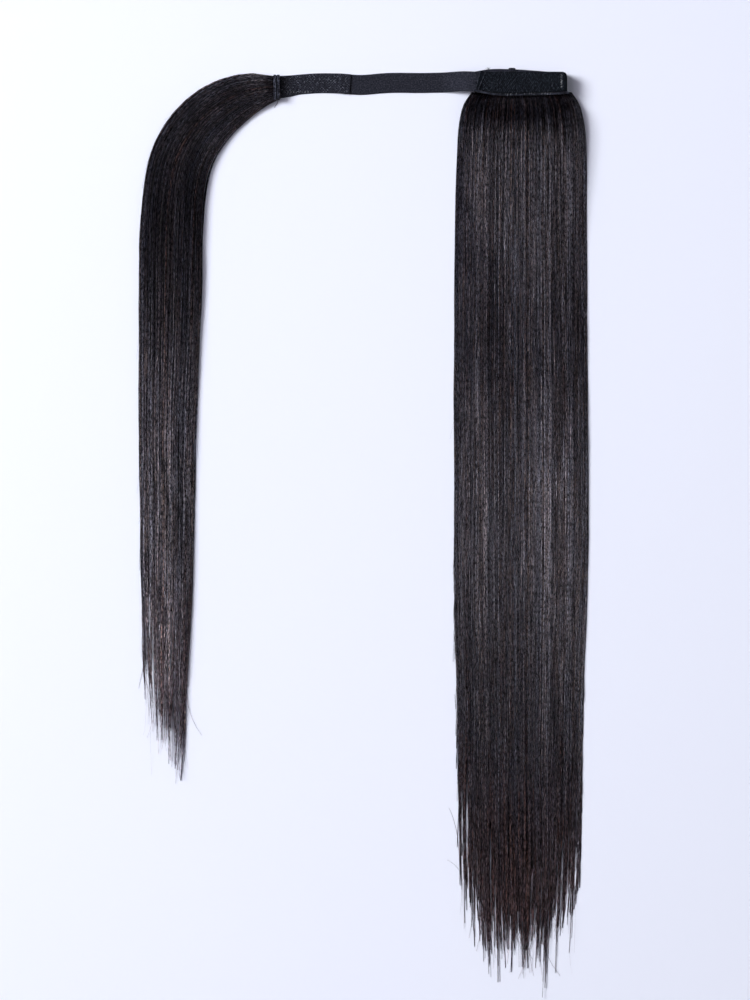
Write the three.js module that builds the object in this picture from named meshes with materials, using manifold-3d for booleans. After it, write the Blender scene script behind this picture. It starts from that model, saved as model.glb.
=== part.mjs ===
// Ponytail hairpiece with a wrap strap, laid out face up on a level surface.
//
// Millimetres. +X runs from the wrap strand to the fall, +Y from the tips of the fall
// to the strap, +Z up. The surface that the piece lies on is z = 0, and the origin is
// the middle of the whole piece, on that surface.
//
// Pieces: the fall of hair on its sewn head, the ribbon strap that carries on over the
// head, the loop tape and its piping on top, the hook tape at the far end of the ribbon,
// the thread binding, and the strand of hair that wraps over the strap when it is worn.

import * as THREE from 'three';
import { mergeVertices } from 'three/addons/utils/BufferGeometryUtils.js';
import Module from 'manifold-3d';

const wasm = await Module();
wasm.setup();

// Clearance between two pieces that are sewn together.
const SEAM_GAP = 0.3;

// Strap: a ribbon with a hook tape lapped over its far end.
const STRAP_WIDTH = 16;
const RIBBON_THICKNESS = 1;
const RIBBON_FREE_LENGTH = 104;
const RIBBON_SLOPE_LENGTH = 28;
const HOOK_TAPE_LENGTH = 60;
const HOOK_TAPE_THICKNESS = 1.3;
const HOOK_LAP = 6;
const HOOK_SETTLE_LENGTH = 10;
const STRAP_SAG = 4;

// Head: the sewn stack of wefts that carries the fall, with the loop tape on it.
const HEAD_LENGTH = 70;
const HEAD_DEPTH = 17;
const HEAD_HEIGHT = 9.6;
const WEFT_ROWS = 4;
const WEFT_STEP = 0.5;
const WEFT_CORNER = 3;
const LOOP_TAPE_LENGTH = 73;
const LOOP_TAPE_THICKNESS = 1.5;
const LOOP_TAPE_ABOVE = 7.7;
const LOOP_TAPE_BELOW = 6.2;
const LOOP_TAPE_CORNER = 4;
const LOOP_EDGE_SAG = 3.6;
const LOOP_END_SLANT = 3.6;
const LOOP_FOLD_WIDTH = 4.5;
const LOOP_FOLD_THICKNESS = 0.6;
const LOOP_END_DROP = 8;
const RIBBON_PEEK = 2.2;
const PIPING_DIAMETER = 1.7;
const PIPING_OVERRUN = 1.6;
const TAB_WIDTH = 5.6;
const TAB_DEPTH = 2.8;
const TAB_THICKNESS = 0.7;
const TAB_CORNER = 0.7;
const TAB_FROM_CENTRE = 7.4;

// Fall: the long hair.
const FALL_WIDTH = 105;
const FALL_LENGTH = 712;
const FALL_CREST = 24;
const FALL_ROOT_DEPTH = 1.6;
const FALL_TAPER = 66;

// Wrap strand: a narrower length of hair that turns from the strap down along the fall.
const WRAP_WIDTH = 50;
const WRAP_HEIGHT = 10;
const WRAP_REACH = 87;
const WRAP_TURN_DROP = 114;
const WRAP_STRAIGHT = 436;
const WRAP_TAPER = 60;
const WRAP_ROOT_OVERHANG = 0.5;

// Binding: thread whipped round the root of the wrap strand and the end of the hook tape.
const BINDING_LENGTH = 5;
const BINDING_WALL = 0.6;
const BINDING_RIDGE = 0.5;
const BINDING_RIDGE_LENGTH = 1.9;
const BINDING_CORNER = 1.4;

// How finely curves are cut into flat faces.
const LOCK_SIDES = 8;
const PIPING_SIDES = 8;
const PIPING_STEPS = 28;
const CORNER_STEPS = 2;
const STRAP_STEPS = 12;
const SLOPE_STEPS = 8;

// Locks of hair: how far the core lies inside their tops, and how thick they are.
const CORE_WIDTH_SHARE = 0.94;
const CORE_HEIGHT_SHARE = 0.86;
const LOCK_DEPTH_SHARE = 0.34;
const LOCK_END_WIDTH = 1.6;
const LOCK_END_HEIGHT = 0.9;
const LOCK_LEAST_RISE = 0.4;
const LOCK_LEAST_CLEARANCE = 0.6;
const LOCK_SWAY = 1.1;
const LOCK_SWAY_TURNS = 1.4;
const LOCK_SWAY_STEP = 0.618;
const FLOOR_CUT = 3;
const PATH_STEP = 0.004;

// How high a bundle of hair stands across its section: 1 in the middle, 0 at the edges.
const DOME_SHAPE = 3;
const DOME_FULLNESS = 0.45;

// Heights that the pieces on the head share.
const ribbonOnHead = HEAD_HEIGHT + SEAM_GAP;
const loopTapeBase = ribbonOnHead + RIBBON_THICKNESS + SEAM_GAP;
const tapeOverRibbon = RIBBON_THICKNESS + SEAM_GAP;
const halfStrap = STRAP_WIDTH / 2;

// The hair starts a little inside the lower side of the head.
const headLow = LOOP_TAPE_ABOVE - HEAD_DEPTH;
const fallRoot = headLow + FALL_ROOT_DEPTH;

// Lengths along the strap, from the middle of the head.
const loopTapeLeft = -LOOP_TAPE_LENGTH / 2;
const loopTapeRight = LOOP_TAPE_LENGTH / 2;
const ribbonFarEnd = loopTapeLeft - RIBBON_FREE_LENGTH;
const hookTapeRight = ribbonFarEnd + HOOK_LAP;
const hookTapeLeft = hookTapeRight - HOOK_TAPE_LENGTH;
const bindingLeft = hookTapeLeft - BINDING_WALL;
const bindingRight = bindingLeft + BINDING_LENGTH;

// Shares of the sizes above. The first column is where the row stands.

// Across the loop tape's length: how far its lower edge sags.
const LOOP_EDGE = [
  { across: -0.5, sag: 0 },
  { across: -0.43, sag: 0.33 },
  { across: -0.3, sag: 0.81 },
  { across: -0.16, sag: 1 },
  { across: -0.03, sag: 0.98 },
  { across: 0.1, sag: 0.88 },
  { across: 0.25, sag: 0.8 },
  { across: 0.41, sag: 0.66 },
  { across: 0.5, sag: 0.5 },
];

// Along the ribbon on the head: how far it shows above the loop tape.
const RIBBON_RISE = [
  { along: 0, peek: 0.1 },
  { along: 0.16, peek: 0.95 },
  { along: 0.38, peek: 1 },
  { along: 0.66, peek: 0.45 },
  { along: 0.84, peek: 0 },
  { along: 1, peek: -0.3 },
];

// Along the free strap, from the far end: how far it bows towards the tips.
const STRAP_BOW = [
  { along: 0, bow: 1 },
  { along: 0.05, bow: 0.82 },
  { along: 0.11, bow: 0.36 },
  { along: 0.2, bow: 0.08 },
  { along: 0.3, bow: 0.1 },
  { along: 0.42, bow: 0.4 },
  { along: 0.55, bow: 0.02 },
  { along: 0.75, bow: 0 },
  { along: 0.9, bow: -0.14 },
  { along: 1, bow: -0.2 },
];

// Along the fall: its edges as shares of half its width, its height of the crest.
const FALL_SHAPE = [
  { along: 0, left: 0.74, right: 0.76, height: 0.37 },
  { along: 0.012, left: 0.85, right: 0.87, height: 0.56 },
  { along: 0.027, left: 0.91, right: 0.93, height: 0.8 },
  { along: 0.046, left: 0.945, right: 0.97, height: 0.96 },
  { along: 0.068, left: 0.96, right: 0.985, height: 1 },
  { along: 0.13, left: 0.985, right: 0.99, height: 0.92 },
  { along: 0.2, left: 1, right: 0.995, height: 0.8 },
  { along: 0.287, left: 1.01, right: 1, height: 0.68 },
  { along: 0.422, left: 1, right: 1.02, height: 0.57 },
  { along: 0.557, left: 1.01, right: 1, height: 0.48 },
  { along: 0.68, left: 0.97, right: 0.945, height: 0.39 },
  { along: 0.78, left: 0.925, right: 0.92, height: 0.31 },
  { along: 0.85, left: 0.885, right: 0.9, height: 0.25 },
  { along: 0.91, left: 0.83, right: 0.86, height: 0.19 },
  { along: 1, left: 0.72, right: 0.76, height: 0.12 },
];

// Locks of the fall: where each lies across it, how far it reaches, half its own width.
const FALL_LOCKS = [
  { side: -0.885, reach: 0.925, half: 0.115 },
  { side: -0.73, reach: 0.95, half: 0.16 },
  { side: -0.55, reach: 0.965, half: 0.15 },
  { side: -0.37, reach: 0.975, half: 0.17 },
  { side: -0.18, reach: 0.985, half: 0.15 },
  { side: 0.01, reach: 0.97, half: 0.16 },
  { side: 0.19, reach: 0.992, half: 0.155 },
  { side: 0.37, reach: 1, half: 0.16 },
  { side: 0.55, reach: 0.978, half: 0.155 },
  { side: 0.73, reach: 0.962, half: 0.16 },
  { side: 0.885, reach: 0.935, half: 0.115 },
];

// Round the turn of the wrap strand: its centre line, its width, its height, and how far
// it is lifted by the tape that it is bound to.
const WRAP_TURN = [
  { reach: 0, drop: 0, width: 0.33, height: 0.4, lift: 1 },
  { reach: 0.04, drop: 0.002, width: 0.33, height: 0.4, lift: 1 },
  { reach: 0.07, drop: 0.005, width: 0.38, height: 0.43, lift: 0.95 },
  { reach: 0.134, drop: 0.014, width: 0.48, height: 0.5, lift: 0.7 },
  { reach: 0.253, drop: 0.033, width: 0.62, height: 0.64, lift: 0.25 },
  { reach: 0.396, drop: 0.076, width: 0.75, height: 0.8, lift: 0 },
  { reach: 0.553, drop: 0.146, width: 0.857, height: 0.93, lift: 0 },
  { reach: 0.696, drop: 0.242, width: 0.92, height: 1, lift: 0 },
  { reach: 0.825, drop: 0.37, width: 0.96, height: 1, lift: 0 },
  { reach: 0.915, drop: 0.515, width: 0.985, height: 0.98, lift: 0 },
  { reach: 0.968, drop: 0.71, width: 0.985, height: 0.94, lift: 0 },
  { reach: 1, drop: 1, width: 1, height: 0.88, lift: 0 },
];

// Down the straight of the wrap strand: its drift, as a share of its width, and its sizes.
const WRAP_HANG = [
  { fall: 0.11, drift: -0.016, width: 1, height: 0.83 },
  { fall: 0.22, drift: -0.037, width: 0.96, height: 0.77 },
  { fall: 0.367, drift: -0.064, width: 0.905, height: 0.7 },
  { fall: 0.514, drift: -0.067, width: 0.85, height: 0.62 },
  { fall: 0.66, drift: -0.07, width: 0.81, height: 0.53 },
  { fall: 0.77, drift: -0.082, width: 0.74, height: 0.44 },
  { fall: 0.88, drift: -0.075, width: 0.66, height: 0.34 },
  { fall: 1, drift: -0.05, width: 0.6, height: 0.25 },
];

// Locks of the wrap strand. The locks on its outer side end first.
const WRAP_LOCKS = [
  { side: -0.8, reach: 0.87, half: 0.21 },
  { side: -0.49, reach: 0.9, half: 0.26 },
  { side: -0.16, reach: 0.935, half: 0.26 },
  { side: 0.18, reach: 0.955, half: 0.26 },
  { side: 0.51, reach: 0.98, half: 0.26 },
  { side: 0.81, reach: 1, half: 0.19 },
];

// Half of a lock's section, over its own taper: how wide and high it still is.
const LOCK_TAPER = [
  { taper: 0.35, size: 0.9 },
  { taper: 0.65, size: 0.66 },
  { taper: 0.88, size: 0.34 },
  { taper: 1, size: 0 },
];

// Places across a core's section where its top is cut into faces.
const CORE_PLACES = [1, 0.93, 0.74, 0.42, 0, -0.42, -0.74, -0.93, -1];

const hair = { color: 0x2a2729, roughness: 0.45, metalness: 0 };
const cloth = { color: 0x2b2d34, roughness: 0.9, metalness: 0 };
const velvet = { color: 0x171b1e, roughness: 0.95, metalness: 0 };

// A smooth curve through the rows of a table: returns every column at any place.
function curveThrough(rows, place) {
  const columns = Object.keys(rows[0]).filter((name) => name !== place);
  const places = rows.map((row) => row[place]);
  const values = rows.flatMap((row) => columns.map((name) => row[name]));
  const curve = new THREE.CubicInterpolant(places, values, columns.length);
  return (at) => {
    const found = curve.evaluate(at);
    return Object.fromEntries(columns.map((name, index) => [name, found[index]]));
  };
}

// Evenly spaced numbers from start to end, both included.
function spaced(start, end, steps) {
  return Array.from({ length: steps + 1 }, (_, step) => THREE.MathUtils.lerp(start, end, step / steps));
}

function closedSolid(geometry) {
  const bare = geometry.index ? geometry.clone() : geometry;
  bare.deleteAttribute('normal');
  bare.deleteAttribute('uv');
  const merged = mergeVertices(bare);
  const solid = new wasm.Mesh({
    numProp: 3,
    vertProperties: new Float32Array(merged.attributes.position.array),
    triVerts: new Uint32Array(merged.index.array),
  });
  return new wasm.Manifold(solid);
}

function joined(solids) {
  return solids.reduce((whole, solid) => whole.add(solid));
}

function namedMesh(solid, name, finish) {
  const { vertProperties, triVerts } = solid.getMesh();
  const geometry = new THREE.BufferGeometry();
  geometry.setAttribute('position', new THREE.BufferAttribute(vertProperties, 3));
  geometry.setIndex(new THREE.BufferAttribute(triVerts, 1));
  geometry.computeVertexNormals();
  const mesh = new THREE.Mesh(geometry, new THREE.MeshStandardMaterial(finish));
  mesh.name = name;
  return mesh;
}

// A closed body through rings of points. Each ring runs anticlockwise as seen from the end.
function loft(rings) {
  const sides = rings[0].length;
  const positions = rings.flat().flatMap((point) => point.toArray());
  const faces = [];
  for (let ring = 0; ring < rings.length - 1; ring += 1) {
    for (let side = 0; side < sides; side += 1) {
      const next = (side + 1) % sides;
      const near = ring * sides;
      const far = near + sides;
      faces.push(near + side, near + next, far + side);
      faces.push(near + next, far + next, far + side);
    }
  }
  const end = (rings.length - 1) * sides;
  for (let side = 1; side < sides - 1; side += 1) {
    faces.push(0, side + 1, side);
    faces.push(end, end + side, end + side + 1);
  }
  const geometry = new THREE.BufferGeometry();
  geometry.setAttribute('position', new THREE.Float32BufferAttribute(positions, 3));
  geometry.setIndex(faces);
  return closedSolid(geometry);
}

// A plate: a plan outline with its underside at one height.
function plate(shape, base, thickness) {
  const geometry = new THREE.ExtrudeGeometry(shape, {
    depth: thickness,
    bevelEnabled: false,
    curveSegments: CORNER_STEPS,
  });
  geometry.translate(0, 0, base);
  return closedSolid(geometry);
}

function roundedRectangle(left, right, low, high, corner) {
  const shape = new THREE.Shape();
  shape.moveTo(left + corner, low);
  shape.lineTo(right - corner, low);
  shape.absarc(right - corner, low + corner, corner, -Math.PI / 2, 0, false);
  shape.lineTo(right, high - corner);
  shape.absarc(right - corner, high - corner, corner, 0, Math.PI / 2, false);
  shape.lineTo(left + corner, high);
  shape.absarc(left + corner, high - corner, corner, Math.PI / 2, Math.PI, false);
  shape.lineTo(left, low + corner);
  shape.absarc(left + corner, low + corner, corner, Math.PI, Math.PI * 1.5, false);
  return shape;
}

// A tape of one thickness. Each row has the middle of its underside and its edges.
function tape(rows, thickness) {
  const rings = rows.map((row, index) => {
    const before = rows[Math.max(index - 1, 0)].centre;
    const after = rows[Math.min(index + 1, rows.length - 1)].centre;
    const run = after.clone().sub(before).normalize();
    const across = new THREE.Vector3(-run.y, run.x, 0).normalize();
    const up = run.clone().cross(across).normalize();
    const corner = (edge, height) =>
      row.centre.clone().addScaledVector(across, edge).addScaledVector(up, height);
    return [
      corner(row.half, 0),
      corner(row.half, thickness),
      corner(-row.half, thickness),
      corner(-row.half, 0),
    ];
  });
  return loft(rings);
}

// How the strap bows in plan, from the binding to the head.
const strapBow = curveThrough(STRAP_BOW, 'along');

function strapMiddle(x) {
  const along = (x - hookTapeLeft) / (loopTapeLeft - hookTapeLeft);
  return -STRAP_SAG * strapBow(THREE.MathUtils.clamp(along, 0, 1)).bow;
}

const ribbonRise = curveThrough(RIBBON_RISE, 'along');

function makeRibbon() {
  const slopeStart = loopTapeLeft - RIBBON_SLOPE_LENGTH;
  const free = spaced(ribbonFarEnd, slopeStart, STRAP_STEPS);
  const slope = spaced(slopeStart, loopTapeLeft, SLOPE_STEPS).slice(1);
  const onHead = spaced(0, 1, STRAP_STEPS).slice(1);
  const headEnd = HEAD_LENGTH / 2;
  const freeRows = [...free, ...slope].map((x) => {
    const climb = THREE.MathUtils.smoothstep(x, slopeStart, loopTapeLeft) * ribbonOnHead;
    return { centre: new THREE.Vector3(x, strapMiddle(x), climb), half: halfStrap };
  });
  const headRows = onHead.map((along) => {
    const x = THREE.MathUtils.lerp(loopTapeLeft, headEnd, along);
    const top = LOOP_TAPE_ABOVE + RIBBON_PEEK * ribbonRise(along).peek;
    return { centre: new THREE.Vector3(x, top - halfStrap, ribbonOnHead), half: halfStrap };
  });
  return tape([...freeRows, ...headRows], RIBBON_THICKNESS);
}

const bindingFloor = BINDING_WALL + SEAM_GAP;

function makeHookTape() {
  const lapStart = hookTapeRight - HOOK_LAP;
  const rows = spaced(hookTapeLeft, hookTapeRight, STRAP_STEPS * 2).map((x) => {
    const settled = THREE.MathUtils.smoothstep(x, bindingRight, bindingRight + HOOK_SETTLE_LENGTH);
    const onRibbon = THREE.MathUtils.smoothstep(x, lapStart - HOOK_SETTLE_LENGTH, lapStart - SEAM_GAP);
    const lift = bindingFloor * (1 - settled) + tapeOverRibbon * onRibbon;
    return { centre: new THREE.Vector3(x, strapMiddle(x), lift), half: halfStrap };
  });
  return tape(rows, HOOK_TAPE_THICKNESS);
}

const loopEdge = curveThrough(LOOP_EDGE, 'across');

// The lower edge of the loop tape, which the piping follows.
function lowerEdge(x) {
  return -LOOP_TAPE_BELOW - LOOP_EDGE_SAG * loopEdge(x / LOOP_TAPE_LENGTH).sag;
}

function makeLoopTape() {
  const outline = new THREE.Shape();
  outline.moveTo(loopTapeLeft, -LOOP_TAPE_BELOW);
  for (const x of spaced(loopTapeLeft, loopTapeRight, STRAP_STEPS).slice(1)) {
    outline.lineTo(x, lowerEdge(x));
  }
  const cornerX = loopTapeRight - LOOP_TAPE_CORNER;
  const cornerY = LOOP_TAPE_ABOVE - LOOP_TAPE_CORNER;
  outline.lineTo(loopTapeRight, cornerY);
  outline.absarc(cornerX, cornerY, LOOP_TAPE_CORNER, 0, Math.PI / 2, false);
  outline.lineTo(loopTapeLeft + LOOP_END_SLANT, LOOP_TAPE_ABOVE);
  const face = plate(outline, loopTapeBase, LOOP_TAPE_THICKNESS);

  // The left end is folded back on itself along a slanted line.
  const fold = new THREE.Shape();
  fold.moveTo(loopTapeLeft, -LOOP_TAPE_BELOW);
  fold.lineTo(loopTapeLeft + LOOP_FOLD_WIDTH / 2, -LOOP_TAPE_BELOW);
  fold.lineTo(loopTapeLeft + LOOP_END_SLANT + LOOP_FOLD_WIDTH, LOOP_TAPE_ABOVE);
  fold.lineTo(loopTapeLeft + LOOP_END_SLANT, LOOP_TAPE_ABOVE);
  const foldBase = loopTapeBase + LOOP_TAPE_THICKNESS / 2;
  const folded = plate(fold, foldBase, LOOP_TAPE_THICKNESS / 2 + LOOP_FOLD_THICKNESS);

  // The right end turns down over the end of the head.
  const endInner = HEAD_LENGTH / 2 + SEAM_GAP;
  const dropLow = fallRoot + SEAM_GAP;
  const drop = new THREE.Shape();
  drop.moveTo(endInner, dropLow);
  drop.lineTo(loopTapeRight, dropLow);
  drop.lineTo(loopTapeRight, cornerY);
  drop.lineTo(endInner, cornerY);
  const dropped = plate(drop, loopTapeBase - LOOP_END_DROP, LOOP_END_DROP + LOOP_TAPE_THICKNESS / 2);
  return joined([face, folded, dropped]);
}

// The piping runs a little past both ends of the loop tape, just below its lower edge.
function makePiping() {
  const radius = PIPING_DIAMETER / 2;
  const start = loopTapeLeft - PIPING_OVERRUN;
  const end = loopTapeRight + PIPING_OVERRUN;
  const points = spaced(start, end, PIPING_STEPS / 2).map((x) => {
    const inside = THREE.MathUtils.clamp(x, loopTapeLeft, loopTapeRight);
    return new THREE.Vector3(x, lowerEdge(inside) - radius - SEAM_GAP, loopTapeBase + radius);
  });
  const section = new THREE.Shape();
  section.absarc(0, 0, radius, 0, 2 * Math.PI, false);
  const geometry = new THREE.ExtrudeGeometry(section, {
    steps: PIPING_STEPS,
    curveSegments: PIPING_SIDES / 2,
    bevelEnabled: false,
    extrudePath: new THREE.CatmullRomCurve3(points),
  });
  return closedSolid(geometry);
}

function makeTab() {
  const left = -TAB_FROM_CENTRE - TAB_WIDTH / 2;
  const low = LOOP_TAPE_ABOVE + SEAM_GAP;
  const shape = roundedRectangle(left, left + TAB_WIDTH, low, low + TAB_DEPTH, TAB_CORNER);
  return plate(shape, loopTapeBase, TAB_THICKNESS);
}

// One section of the fall: its middle on the surface, the way across, and its sizes.
const fallShape = curveThrough(FALL_SHAPE, 'along');

function fallSection(along) {
  const shape = fallShape(along);
  return {
    middle: new THREE.Vector3(0, fallRoot - along * FALL_LENGTH, 0),
    across: new THREE.Vector3(1, 0, 0),
    left: (shape.left * FALL_WIDTH) / 2,
    right: (shape.right * FALL_WIDTH) / 2,
    base: -FLOOR_CUT,
    top: shape.height * FALL_CREST,
  };
}

// The wrap strand's centre line, from the binding round the turn and down the straight.
function wrapRows() {
  const startX = bindingLeft + BINDING_LENGTH / 2;
  const startY = strapMiddle(hookTapeLeft);
  const turnX = startX - WRAP_REACH;
  const turnY = startY - WRAP_TURN_DROP;
  const lifted = bindingFloor + HOOK_TAPE_THICKNESS + SEAM_GAP;
  const turn = WRAP_TURN.map((row) => ({
    x: startX - row.reach * WRAP_REACH,
    y: startY - row.drop * WRAP_TURN_DROP,
    width: row.width * WRAP_WIDTH,
    height: row.height * WRAP_HEIGHT,
    base: THREE.MathUtils.lerp(-FLOOR_CUT, lifted, row.lift),
  }));
  const straight = WRAP_HANG.map((row) => ({
    x: turnX + row.drift * WRAP_WIDTH,
    y: turnY - row.fall * WRAP_STRAIGHT,
    width: row.width * WRAP_WIDTH,
    height: row.height * WRAP_HEIGHT,
    base: -FLOOR_CUT,
  }));
  const rows = [...turn, ...straight];
  let length = 0;
  const travelled = rows.map((row, index) => {
    const before = rows[Math.max(index - 1, 0)];
    length += Math.hypot(row.x - before.x, row.y - before.y);
    return length;
  });
  const placed = rows.map((row, index) => ({ along: travelled[index] / length, ...row }));
  return { length, rows: placed };
}

const wrapPath = wrapRows();
const wrapShape = curveThrough(wrapPath.rows, 'along');

function wrapSection(along) {
  const shape = wrapShape(along);
  const before = wrapShape(Math.max(along - PATH_STEP, 0));
  const after = wrapShape(Math.min(along + PATH_STEP, 1));
  const run = new THREE.Vector3(after.x - before.x, after.y - before.y, 0).normalize();
  const lift = Math.max(shape.base, 0);
  return {
    middle: new THREE.Vector3(shape.x, shape.y, 0),
    across: new THREE.Vector3(-run.y, run.x, 0),
    left: shape.width / 2,
    right: shape.width / 2,
    base: shape.base,
    top: lift + shape.height,
  };
}

function dome(side) {
  return (1 - Math.abs(side) ** DOME_SHAPE) ** DOME_FULLNESS;
}

function pointAcross(section, side, height) {
  const reach = side < 0 ? section.left : section.right;
  const point = section.middle.clone().addScaledVector(section.across, side * reach);
  point.z = height;
  return point;
}

// The core of a bundle: one body a little inside the tops of the locks.
function core(sectionAt, places) {
  const rings = places.map((along) => {
    const section = sectionAt(along);
    const low = Math.max(section.base, 0);
    return CORE_PLACES.map((side) => {
      const rise = (section.top - low) * dome(side) * CORE_HEIGHT_SHARE;
      const height = Math.abs(side) === 1 ? section.base : low + rise;
      return pointAcross(section, side * CORE_WIDTH_SHARE, height);
    });
  });
  return loft(rings);
}

// One lock: it follows the bundle, sways a little, and tapers to its own end.
function lock(sectionAt, places, row, order, taperShare) {
  const taperStart = row.reach - taperShare;
  const body = places.filter((along) => along < taperStart).map((along) => ({ along, size: 1 }));
  const tip = LOCK_TAPER.map(({ taper, size }) => ({ along: taperStart + taper * taperShare, size }));
  const rings = [...body, { along: taperStart, size: 1 }, ...tip].map(({ along, size }) => {
    const section = sectionAt(along);
    const low = Math.max(section.base, 0);
    const reach = row.side < 0 ? section.left : section.right;
    const halfWidth = Math.max(size * row.half * reach, LOCK_END_WIDTH / 2);
    const rise = (section.top - low) * dome(row.side);
    const halfHeight = Math.max(size * rise * LOCK_DEPTH_SHARE, LOCK_END_HEIGHT / 2);
    const turn = along * LOCK_SWAY_TURNS + order * LOCK_SWAY_STEP;
    const sway = Math.sin(turn * Math.PI * 2) * LOCK_SWAY * along;
    const middle = pointAcross(section, row.side, 0).addScaledVector(section.across, sway);
    const top = rise * Math.max(size, LOCK_LEAST_RISE);
    const centreHeight = low + Math.max(top - halfHeight, halfHeight * LOCK_LEAST_CLEARANCE);
    return Array.from({ length: LOCK_SIDES }, (_, side) => {
      const angle = ((side + 0.5) / LOCK_SIDES) * Math.PI * 2;
      const point = middle.clone().addScaledVector(section.across, Math.cos(angle) * halfWidth);
      point.z = centreHeight + Math.sin(angle) * halfHeight;
      return point;
    });
  });
  return loft(rings);
}

// Whatever of a piece of hair lies under the surface is cut off, so that it lies flat.
function cutFlat(solid) {
  const reach = 3 * FALL_LENGTH;
  const below = new THREE.BoxGeometry(reach, reach, reach);
  below.translate(0, 0, -reach / 2);
  return solid.subtract(closedSolid(below));
}

function makeHead() {
  const rowHeight = HEAD_HEIGHT / WEFT_ROWS;
  const rows = spaced(0, WEFT_ROWS - 1, WEFT_ROWS - 1).map((row) => {
    const inset = row % 2 === 0 ? 0 : WEFT_STEP;
    const outline = roundedRectangle(
      -HEAD_LENGTH / 2 + inset, HEAD_LENGTH / 2 - inset, headLow, LOOP_TAPE_ABOVE - inset, WEFT_CORNER,
    );
    return plate(outline, row * rowHeight, rowHeight);
  });
  return joined(rows);
}

// A bundle of hair: a core and the locks round it. The core ends inside the shortest lock.
function bundle(sectionAt, places, lockRows, taper) {
  const shortest = Math.min(...lockRows.map((row) => row.reach));
  const coreEnd = shortest - taper;
  const corePlaces = [...places.filter((along) => along < coreEnd), coreEnd, coreEnd + taper / 2];
  const locks = lockRows.map((row, order) => lock(sectionAt, places, row, order, taper));
  return joined([core(sectionAt, corePlaces), ...locks]);
}

function makeFall() {
  const places = FALL_SHAPE.map((row) => row.along);
  const hairs = bundle(fallSection, places, FALL_LOCKS, FALL_TAPER / FALL_LENGTH);
  return cutFlat(makeHead().add(hairs));
}

function makeWrapStrand() {
  const places = wrapPath.rows.map((row) => row.along);
  return cutFlat(bundle(wrapSection, places, WRAP_LOCKS, WRAP_TAPER / wrapPath.length));
}

// The binding: a sleeve of thread round the tape end and the hair root, with a ridge at
// each end of it.
function makeBinding() {
  const middle = strapMiddle(hookTapeLeft);
  const root = wrapSection(0);
  const innerHalf = Math.max(halfStrap, root.right + WRAP_ROOT_OVERHANG) + SEAM_GAP;
  const innerTop = root.top + SEAM_GAP;
  const sleeve = (start, length, growth) => {
    const half = innerHalf + BINDING_WALL + growth;
    const shape = roundedRectangle(
      middle - half, middle + half, 0, innerTop + BINDING_WALL + growth, BINDING_CORNER,
    );
    const opening = roundedRectangle(
      middle - innerHalf, middle + innerHalf, BINDING_WALL, innerTop, BINDING_WALL,
    );
    shape.holes.push(opening);
    const geometry = new THREE.ExtrudeGeometry(shape, {
      depth: length,
      bevelEnabled: false,
      curveSegments: CORNER_STEPS,
    });
    geometry.rotateX(Math.PI / 2);
    geometry.rotateZ(Math.PI / 2);
    geometry.translate(start, 0, 0);
    return closedSolid(geometry);
  };
  const ridges = [bindingLeft, bindingLeft + BINDING_LENGTH - BINDING_RIDGE_LENGTH];
  const turns = ridges.map((start) => sleeve(start, BINDING_RIDGE_LENGTH, BINDING_RIDGE));
  return joined([sleeve(bindingLeft, BINDING_LENGTH, 0), ...turns]);
}

const ponytail = new THREE.Group();
ponytail.name = 'ponytail_hairpiece';
ponytail.add(
  namedMesh(makeFall(), 'hair_fall', hair),
  namedMesh(makeWrapStrand(), 'wrap_strand', hair),
  namedMesh(makeRibbon(), 'ribbon_strap', cloth),
  namedMesh(makeHookTape(), 'hook_tape', cloth),
  namedMesh(makeLoopTape(), 'loop_tape', velvet),
  namedMesh(makeTab(), 'end_tab', cloth),
  namedMesh(makePiping(), 'edge_piping', cloth),
  namedMesh(makeBinding(), 'root_binding', cloth),
);

// The origin goes to the middle of the whole piece, on the surface that it lies on.
const box = new THREE.Box3().setFromObject(ponytail);
const middle = box.getCenter(new THREE.Vector3());
ponytail.position.set(-middle.x, -middle.y, -box.min.z);

export default ponytail;
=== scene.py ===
# Ponytail hairpiece with a wrap strap, lying face up on a level surface.
# Metres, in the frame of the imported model: +X is the fall's side, +Y the strap's, and +Z is up.
import math

import bpy
import numpy as np
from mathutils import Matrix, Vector


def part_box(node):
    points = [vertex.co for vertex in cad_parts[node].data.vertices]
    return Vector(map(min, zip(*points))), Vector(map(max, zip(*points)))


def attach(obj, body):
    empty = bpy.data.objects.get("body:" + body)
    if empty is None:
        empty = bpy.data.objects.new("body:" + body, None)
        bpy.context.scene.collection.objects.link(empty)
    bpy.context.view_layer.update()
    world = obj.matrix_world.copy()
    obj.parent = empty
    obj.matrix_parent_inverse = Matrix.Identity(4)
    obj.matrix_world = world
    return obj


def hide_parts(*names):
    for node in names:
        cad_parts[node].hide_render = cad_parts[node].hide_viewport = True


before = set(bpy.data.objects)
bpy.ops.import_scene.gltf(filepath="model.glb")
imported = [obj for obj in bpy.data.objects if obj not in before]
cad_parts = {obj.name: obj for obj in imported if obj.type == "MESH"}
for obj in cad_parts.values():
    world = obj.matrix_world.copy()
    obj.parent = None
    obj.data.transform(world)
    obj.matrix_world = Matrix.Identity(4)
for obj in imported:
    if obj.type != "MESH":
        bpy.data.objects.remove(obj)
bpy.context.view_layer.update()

MM = 0.001

# The strap's line lies LOOP_TOP millimetres below the loop tape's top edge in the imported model.
LOOP_TOP = 7.7
LOOP_LOW, LOOP_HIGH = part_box("loop_tape")
HEAD_X = (LOOP_LOW.x + LOOP_HIGH.x) / 2
STRAP_Y = LOOP_HIGH.y - LOOP_TOP * MM

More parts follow.
